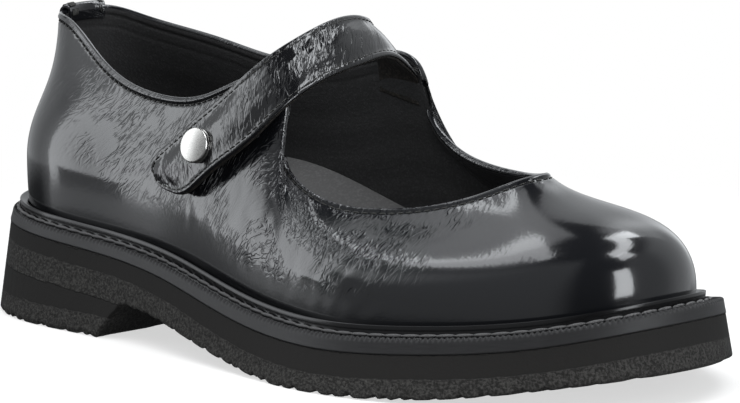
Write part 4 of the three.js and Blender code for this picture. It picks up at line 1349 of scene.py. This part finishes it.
@dataclass
class Outsole:
    """Foam sole: flared side with bands of grain, heel, and grooved tread."""

    columns: int = 1000
    side_rows: int = 26
    across: int = 60
    top_out: float = 7.75
    ground_out: float = 11.6
    corner: float = 1.1
    groove_pitch: float = 6.2
    groove_depth: float = 1.0
    seed: int = 7

    def __post_init__(self) -> None:
        """Draws where the tread's grooves lie and how deep they are."""
        draw = np.random.default_rng(self.seed)
        places = [-9.0]
        while places[-1] < 270:
            places.append(places[-1] + self.groove_pitch * draw.uniform(0.62, 1.4))
        self.groove_x = np.array(places)
        self.groove_deep = self.groove_depth * draw.uniform(0.45, 1.15, len(places))
        self.groove_wide = draw.uniform(0.7, 1.35, len(places))
        self.groove_bend = draw.uniform(0, 2 * np.pi, len(places))

    def underside(self, x: Array, y: Array) -> Array:
        """Height of the underside: heel, breast and forepart, cut by grooves."""
        breast_x, breast_z = zip(*BREAST_LINE)
        base = np.where(x < breast_x[-1], np.interp(x, breast_x, breast_z), LAST.tread(x))
        cut = np.zeros_like(x)
        for k, place in enumerate(self.groove_x):
            off = x - place - 1.3 * np.sin(y * 0.11 + self.groove_bend[k])
            cut = np.maximum(cut, self.groove_deep[k] * bump(off, self.groove_wide[k]))
        breast = bump(x - 66, 6.0)
        waist = ramp(x, 66, 78) * ramp(-x, -112, -96)
        return base + cut * (1 - breast) * (1 - 0.45 * waist)

    def build(self) -> None:
        """Makes the side wall and the underside as one closed piece."""
        at = LAST.even_sections(self.columns, self.ground_out)
        x, y = LAST.plan(at, self.ground_out)
        around = np.append(0, np.cumsum(np.hypot(np.diff(x), np.diff(y))))
        top_x = LAST.plan(at, self.top_out)[0]
        top = LAST.seat(top_x) - LAST.band(top_x)
        share = np.ones_like(at)
        for _ in range(6):
            x, y = LAST.plan(at, self.top_out + (self.ground_out - self.top_out) * share)
            share = 1 - self.underside(x, y) / top
        points, grain, down = [], [], []
        for k in range(self.side_rows + 1):
            part = k / self.side_rows
            outside = self.top_out + (self.ground_out - self.top_out) * share * part
            px, py = LAST.plan(at, outside)
            low = self.underside(px, py)
            z = top + (low - top) * part
            near = np.clip(1 - (z - low) / self.corner, 0, 1)
            inward = self.corner * (1 - np.sqrt(1 - near**2)) * 0.8
            px, py = LAST.plan(at, outside - inward)
            depth = top - z
            points.append(np.stack([px, py, z], -1))
            grain.append(self.grain(px, depth, z))
            down.append(depth)
        side = Sheet(np.stack(points, 1), np.stack([np.repeat(around[:, None], len(points), 1),
                                                    np.stack(down, 1)], -1) / 10,
                     {"grain": np.stack(grain, 1)})
        wall = lay_grid("outsole_side", side, ring=True, turned=True)
        bottom = self.bottom(points[-1])
        lid = self.lid(points[0])
        choose(wall, bottom, lid)
        bpy.ops.object.join()
        sole = bpy.context.active_object
        sole.name = "outsole_foam"
        sole.data.name = "outsole_foam"
        bpy.ops.object.mode_set(mode="EDIT")
        bpy.ops.mesh.select_all(action="SELECT")
        bpy.ops.mesh.remove_doubles(threshold=2e-5)
        bpy.ops.mesh.normals_make_consistent(inside=False)
        bpy.ops.object.mode_set(mode="OBJECT")
        bpy.ops.object.shade_smooth_by_angle(angle=math.radians(50))
        Dress.FOAM.on(sole)
        settle(sole, "outsole", "outsole")

    @staticmethod
    def grain(x: Array, depth: Array, z: Array) -> Array:
        """Share of open grain on the side: a band along the welt, and the heel's foot."""
        start = 4.6 + 1.6 * ramp(x, 60, 170)
        along_welt = ramp(depth, start, start + 1.2) * ramp(-depth, -14.0, -12.4)
        heel_foot = ramp(-z, -7.5, -6.0) * ramp(-x, -75, -68)
        fore = ramp(x, 95, 120) * ramp(depth, start, start + 1.2)
        return np.maximum.reduce([along_welt, heel_foot, fore])

    def across_net(self, rim: Array, height: Callable[[Array, Array, Array], Array]) -> Sheet:
        """Net between the outer and the inner half of a rim.

        Args:
            rim: points round the shoe, the first one repeated last.
            height: gives z from x, y and the straight line's z.

        Returns:
            The net, from heel to toe and from the outer to the inner side.
        """
        half = self.columns // 2
        outer, inner = rim[:half + 1], rim[half:][::-1]
        share = np.linspace(0, 1, self.across + 1)[None, :, None]
        points = outer[:, None] + (inner - outer)[:, None] * share
        middle = height(points[..., 0], points[..., 1], points[..., 2])
        edge = np.minimum(share[..., 0], 1 - share[..., 0]) * 2 * self.across / 3
        blend = np.clip(edge, 0, 1)
        points[..., 2] = points[..., 2] * (1 - blend) + middle * blend
        points[0] = rim[0]
        points[-1] = rim[half]
        return Sheet(points, points[..., :2] / 10, {"grain": np.full(points.shape[:2], 0.75)})

    def bottom(self, rim: Array) -> Piece:
        """The underside, meeting the side wall's lowest row."""
        return lay_grid("outsole_tread", self.across_net(rim, lambda x, y, z: self.underside(x, y)))

    def lid(self, rim: Array) -> Piece:
        """The top, under the welt."""
        return lay_grid("outsole_top", self.across_net(rim, lambda x, y, z: z), turned=True)


# -------------------------------------------------------------------- footbed

@dataclass
class Footbed:
    """Cupped footbed inside the upper, raised at the arch."""

    columns: int = 240
    across: int = 40
    rise: float = 8.0
    arch_rise: float = 13.2
    arch_at: float = 18.1
    arch_width: float = 2.3
    toe_fall: float = 3.5
    toe_at: float = 11.0
    toe_width: float = 3.2
    cup: float = 2.5
    floor: float = 6.0
    sink: float = 0.55
    room: float = 0.45
    thick: float = 1.0

    def build(self) -> None:
        """Makes the footbed with its grained cover."""
        half = self.columns // 2
        round_at = LAST.even_sections(self.columns)
        above = (self.rise + self.arch_rise * bump(round_at - self.arch_at, self.arch_width)
                 - self.toe_fall * bump(round_at - self.toe_at, self.toe_width))
        x, y = LAST.plan(round_at, LAST.wall_outside(round_at, above) - LAST.wall_thick - self.room)
        rim = np.stack([x, y, LAST.seat(LAST.section["x"](round_at)) + above], -1)
        outer, inner = rim[:half + 1], rim[half:][::-1]
        share = np.linspace(0, 1, self.across + 1)[None, :, None]
        points = outer[:, None] + (inner - outer)[:, None] * share
        level = points[..., 2] - LAST.seat(points[..., 0])
        sunk = self.cup + self.sink * (level - self.floor)
        points[..., 2] -= sunk * 4 * share[..., 0] * (1 - share[..., 0])
        points = points[2:-2]
        piece = lay_grid("footbed_cover", Sheet(points, points[..., :2] / 10))
        thicken(piece, self.thick, 0.6)
        Dress.FOOTBED.on(piece)
        settle(piece, "insole", "insole")


# ------------------------------------------------------------------- heel tab

@dataclass
class HeelTab:
    """Strip of patent folded over the back of the collar and barred at its end."""

    half: float = 8.5
    steps: int = 84
    inner_reach: float = 0.965
    outer_reach: float = 0.955
    room: float = 0.15
    skin: float = 0.9

    def build(self) -> None:
        """Makes the folded strip and the bar of stitches on its inner end."""
        along = np.linspace(-self.half, self.half, self.steps + 1) % LAST.length
        over = self.room + self.skin
        wall, out = self.side(along, self.outer_reach)
        outer = wall + out * over
        climb = unit(wall[:, -1] - wall[:, -3])
        middle = wall[:, -1] - out[:, -1] * LAST.wall_thick / 2
        turn = np.linspace(0, math.pi, 13)[1:-1]
        wide = LAST.wall_thick / 2 + over
        crest = middle[:, None] + (np.cos(turn)[None, :, None] * out[:, -1:] * wide
                                   + np.sin(turn)[None, :, None] * climb[:, None] * (wide + 0.2))
        inside, inside_out = self.side(along, self.inner_reach)
        inner = (inside - inside_out * (LAST.wall_thick + over))[:, ::-1]
        points = np.concatenate([outer, crest, inner], 1)
        run = np.append(0, np.cumsum(np.linalg.norm(np.diff(wall[:, -1], axis=0), axis=1)))
        rows = np.arange(points.shape[1]) * 0.7
        flat = np.stack(np.broadcast_arrays(run[:, None], rows[None, :]), -1) / 10
        worked = np.full(points.shape[:2], 0.3)
        piece = lay_grid("heel_tab_fold", Sheet(points, flat, {"worked": worked}))
        thicken(piece, self.skin, 0.35)
        Dress.PATENT.on(piece)
        settle(piece, "heel_tab", "heel_tab")
        self.bars(points)

    @staticmethod
    def side(along: Array, reach: float) -> tuple[Array, Array]:
        """The wall's outer face near the topline.

        Args:
            along: places along the topline.
            reach: share of the way up the wall that it starts at.

        Returns:
            Its points and their outward directions.
        """
        wall = LAST.wall(along[:, None], np.linspace(reach, 1, 14)[None, :])
        return wall, Sheet(wall, wall).normals(ring=False)

    def bars(self, points: Array) -> None:
        """Short stitches fanned over the fold near each end."""
        places = []
        middle = 20
        columns = [(end, 1) for end in range(-10, -26, -3)] + [(6, -1), (10, -1)]
        for end, turn in columns:
            column = points[end]
            for row in (middle - 5, middle, middle + 5):
                forward = column[row + 1] - column[row - 1]
                across = points[end + 1, row] - points[end - 1, row]
                out = np.cross(across, forward)
                lean = forward + across * 0.8 * turn
                places.append(basis(column[row] + unit(out) * 0.15, lean, out))
        bars = scatter(stitch(2.6, 0.45), places, "heel_tab_stitches")
        Dress.THREAD.on(bars)
        settle(bars, "heel_tab")


# --------------------------------------------------------------- room, camera

@dataclass(frozen=True)
class Panel:
    """A soft-edged bright field of the surroundings, seen in the patent.

    Azimuths and elevations are in degrees, as the camera's are. edge holds how
    soft the two ends in azimuth are, and then the two in elevation.
    """

    azimuth: tuple[float, float]
    elevation: tuple[float, float]
    edge: tuple[float, float, float, float]
    radiance: float


PANELS = (
    Panel((-64.5, -57), (-10.4, 46), (1.5, 1.5, 1.5, 12), 2.1),  # a lit wall beside the shoe
    Panel((-57, -44), (-6.0, 46), (1.5, 8, 1.5, 12), 2.1),
    Panel((-122, -64), (-9, 28), (14, 2, 2, 8), 0.4),
    Panel((-86, -60), (34, 58), (4, 8, 10, 5), 1.5),
    Panel((-118, -86), (44, 68), (4, 4, 5, 4), 0.8),
    Panel((-162, -118), (-2, 52), (8, 4, 4, 2), 0.56),
    Panel((-46, -24), (30, 56), (10, 20, 8, 12), 0.75),
    Panel((-72, 34), (-17, 66), (8, 10, 2, 6), 0.24),
    Panel((-66, -38), (-14.4, -10.8), (2, 10, 0.8, 0.7), 0.34),  # lit strip of floor beside the heel
    Panel((60, 181), (-52, -20), (20, 1, 8, 4), 0.24),
    Panel((96, 181), (-16, 50), (8, 1, 3, 8), 0.28),
    Panel((140, 181), (-12, 52), (14, 1, 3, 8), 0.22),
    Panel((-181, -150), (-10, 60), (1, 6, 4, 8), 0.50),
    Panel((-181, -146), (34, 62), (1, 6, 8, 5), 0.4),
    Panel((78, 96), (-3, 36), (1.5, 1.5, 2, 2), 5.5),  # windows ahead of the toe
    Panel((92, 181), (61, 71), (3, 1, 1.5, 2), 5.0),
    Panel((97, 122), (51, 62), (2, 3, 1.5, 1.5), 4.5),
    Panel((-181, -162), (52, 71), (1, 4, 2, 2), 5.0),
)


@dataclass(frozen=True)
class Studio:
    """Pale floor, white surroundings and the camera."""

    # The camera: angles in degrees, distance and target in metres, lens in millimetres.
    azimuth: float = 43.47
    elevation: float = 9.5
    distance: float = 1.57668
    lens: float = 252.4
    target: tuple[float, float, float] = (0.01317, -0.00095, 0.04671)
    floor_radius: float = 0.36
    floor_clear: float = 0.62
    dim: float = 0.03
    # A long tube light: the plane that it lies in, how far off that plane its
    # light reaches, as a cosine, and the azimuths that it runs between.
    tube_normal: tuple[float, float, float] = (0.674, 0.676, 0.298)
    tube_across: tuple[float, float] = (-0.086, -0.016)
    tube_across_edges: tuple[float, float] = (0.009, 0.009)
    tube_azimuth: tuple[float, float] = (-104, -34)
    tube_azimuth_edges: tuple[float, float] = (3, 8)
    tube_radiance: float = 2.9
    # Lamps: name, place, side of the square and power.
    fills: tuple[tuple[str, tuple[float, float, float], float, float], ...] = (
        ("top_fill", (0.25, -0.35, 1.5), 1.4, 26.0),
        ("front_fill", (1.3, -0.9, 0.7), 0.9, 9.0),
    )

    def camera(self) -> None:
        """Places the camera."""
        view = bpy.data.cameras.new("camera")
        view.lens = self.lens
        view.sensor_width = 36.0
        view.clip_end = 20.0
        stand = bpy.data.objects.new("camera", view)
        bpy.context.scene.collection.objects.link(stand)
        a, e = math.radians(self.azimuth), math.radians(self.elevation)
        away = Vector((math.sin(a) * math.cos(e), -math.cos(a) * math.cos(e), math.sin(e)))
        stand.location = Vector(self.target) + away * self.distance
        stand.rotation_euler = away.to_track_quat("Z", "Y").to_euler()
        bpy.context.scene.camera = stand

    def floor(self, height: float) -> None:
        """Lays a round pale floor that fades into the white surroundings."""
        deselect()
        bpy.ops.mesh.primitive_circle_add(vertices=96, radius=self.floor_radius, fill_type="NGON",
                                          location=(0, 0, height))
        ground = bpy.context.active_object
        ground.name = "floor"
        floor = bpy.data.materials.new("pale_floor")
        floor.use_nodes = True
        n = Nodes(floor.node_tree)
        far = n.add("VectorMath", {0: n.place()}, operation="LENGTH").outputs["Value"]
        fade = n.span(far, self.floor_radius * 0.48, self.floor_radius * 0.95, self.floor_clear, 1.0)
        paint = n.add("BsdfDiffuse", {"Color": (0.86, 0.86, 0.86, 1)})
        clear = n.add("BsdfTransparent")
        both = n.add("MixShader", {0: fade, 1: paint.outputs[0], 2: clear.outputs[0]})
        n.add("OutputMaterial", {"Surface": both.outputs[0]})
        ground.data.materials.append(floor)
        ground.visible_glossy = False
        ground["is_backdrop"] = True

    def surroundings(self) -> None:
        """White behind the shoe, dim grey in the room that the patent reflects."""
        scene = bpy.context.scene
        scene.view_settings.view_transform = "Standard"
        world = bpy.data.worlds.new("studio")
        scene.world = world
        world.use_nodes = True
        n = Nodes(world.node_tree)
        here = n.add("TexCoord").outputs["Generated"]
        axes = n.add("SeparateXYZ", {0: here}).outputs
        azimuth = n.math("DEGREES", n.math("ARCTAN2", axes[0], n.math("MULTIPLY", axes[1], -1.0)))
        elevation = n.math("DEGREES", n.math("ARCSINE", axes[2]))
        total = self.dim
        for panel in PANELS:
            light = n.math("MULTIPLY", self.window(n, azimuth, panel.azimuth, panel.edge[:2]),
                           self.window(n, elevation, panel.elevation, panel.edge[2:]))
            total = n.math("ADD", total, n.math("MULTIPLY", light, panel.radiance))
        tube = n.add("VectorMath", {0: here, 1: self.tube_normal}, operation="DOT_PRODUCT").outputs["Value"]
        light = n.math("MULTIPLY", self.window(n, tube, self.tube_across, self.tube_across_edges),
                       self.window(n, azimuth, self.tube_azimuth, self.tube_azimuth_edges))
        total = n.math("ADD", total, n.math("MULTIPLY", light, self.tube_radiance))
        room = n.add("Background", {"Color": (0.94, 0.97, 1.0, 1), "Strength": total})
        seen = n.add("Background", {"Color": (1, 1, 1, 1)})
        path = n.add("LightPath")
        mix = n.add("MixShader", {0: path.outputs["Is Camera Ray"], 1: room.outputs[0],
                                  2: seen.outputs[0]})
        n.add("OutputWorld", {"Surface": mix.outputs[0]})

    @staticmethod
    def window(n: Nodes, angle: bpy.types.NodeSocket, ends: tuple[float, float],
               edges: tuple[float, float]) -> bpy.types.NodeSocket:
        """Share of light at an angle between two ends, with soft edges."""
        rise = n.span(angle, ends[0] - edges[0], ends[0] + edges[0])
        fall = n.span(angle, ends[1] - edges[1], ends[1] + edges[1], 1.0, 0.0)
        return n.math("MULTIPLY", rise, fall)

    def fill(self) -> None:
        """A broad light from above that dull surfaces take, and the patent doesn't mirror."""
        for name, place, size, power in self.fills:
            lamp = bpy.data.lights.new(name, "AREA")
            lamp.shape = "SQUARE"
            lamp.size = size
            lamp.energy = power
            stand = bpy.data.objects.new(name, lamp)
            bpy.context.scene.collection.objects.link(stand)
            stand.location = place
            away = Vector(place) - Vector(self.target)
            stand.rotation_euler = away.to_track_quat("Z", "Y").to_euler()
            stand.visible_camera = False
            stand.visible_glossy = False

    def build(self, height: float) -> None:
        """Sets up everything round the shoe.

        Args:
            height: the plane that the shoe stands on.
        """
        self.camera()
        self.surroundings()
        self.floor(height)
        self.fill()


def main() -> None:
    """Builds the shoe piece by piece round the frame."""
    logging.basicConfig(level=logging.INFO, format="%(name)s %(message)s")
    frame_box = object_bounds()
    Studio().build(float(frame_box[0][2]))
    strap = Strap()
    for sub_assembly in (Outsole(), Welt(), Footbed(), Upper(), HeelTab(), strap,
                         Snap(strap.snap_place())):
        sub_assembly.build()
        LOG.info("%s built", type(sub_assembly).__name__)
    deselect()


if __name__ == "__main__":
    main()
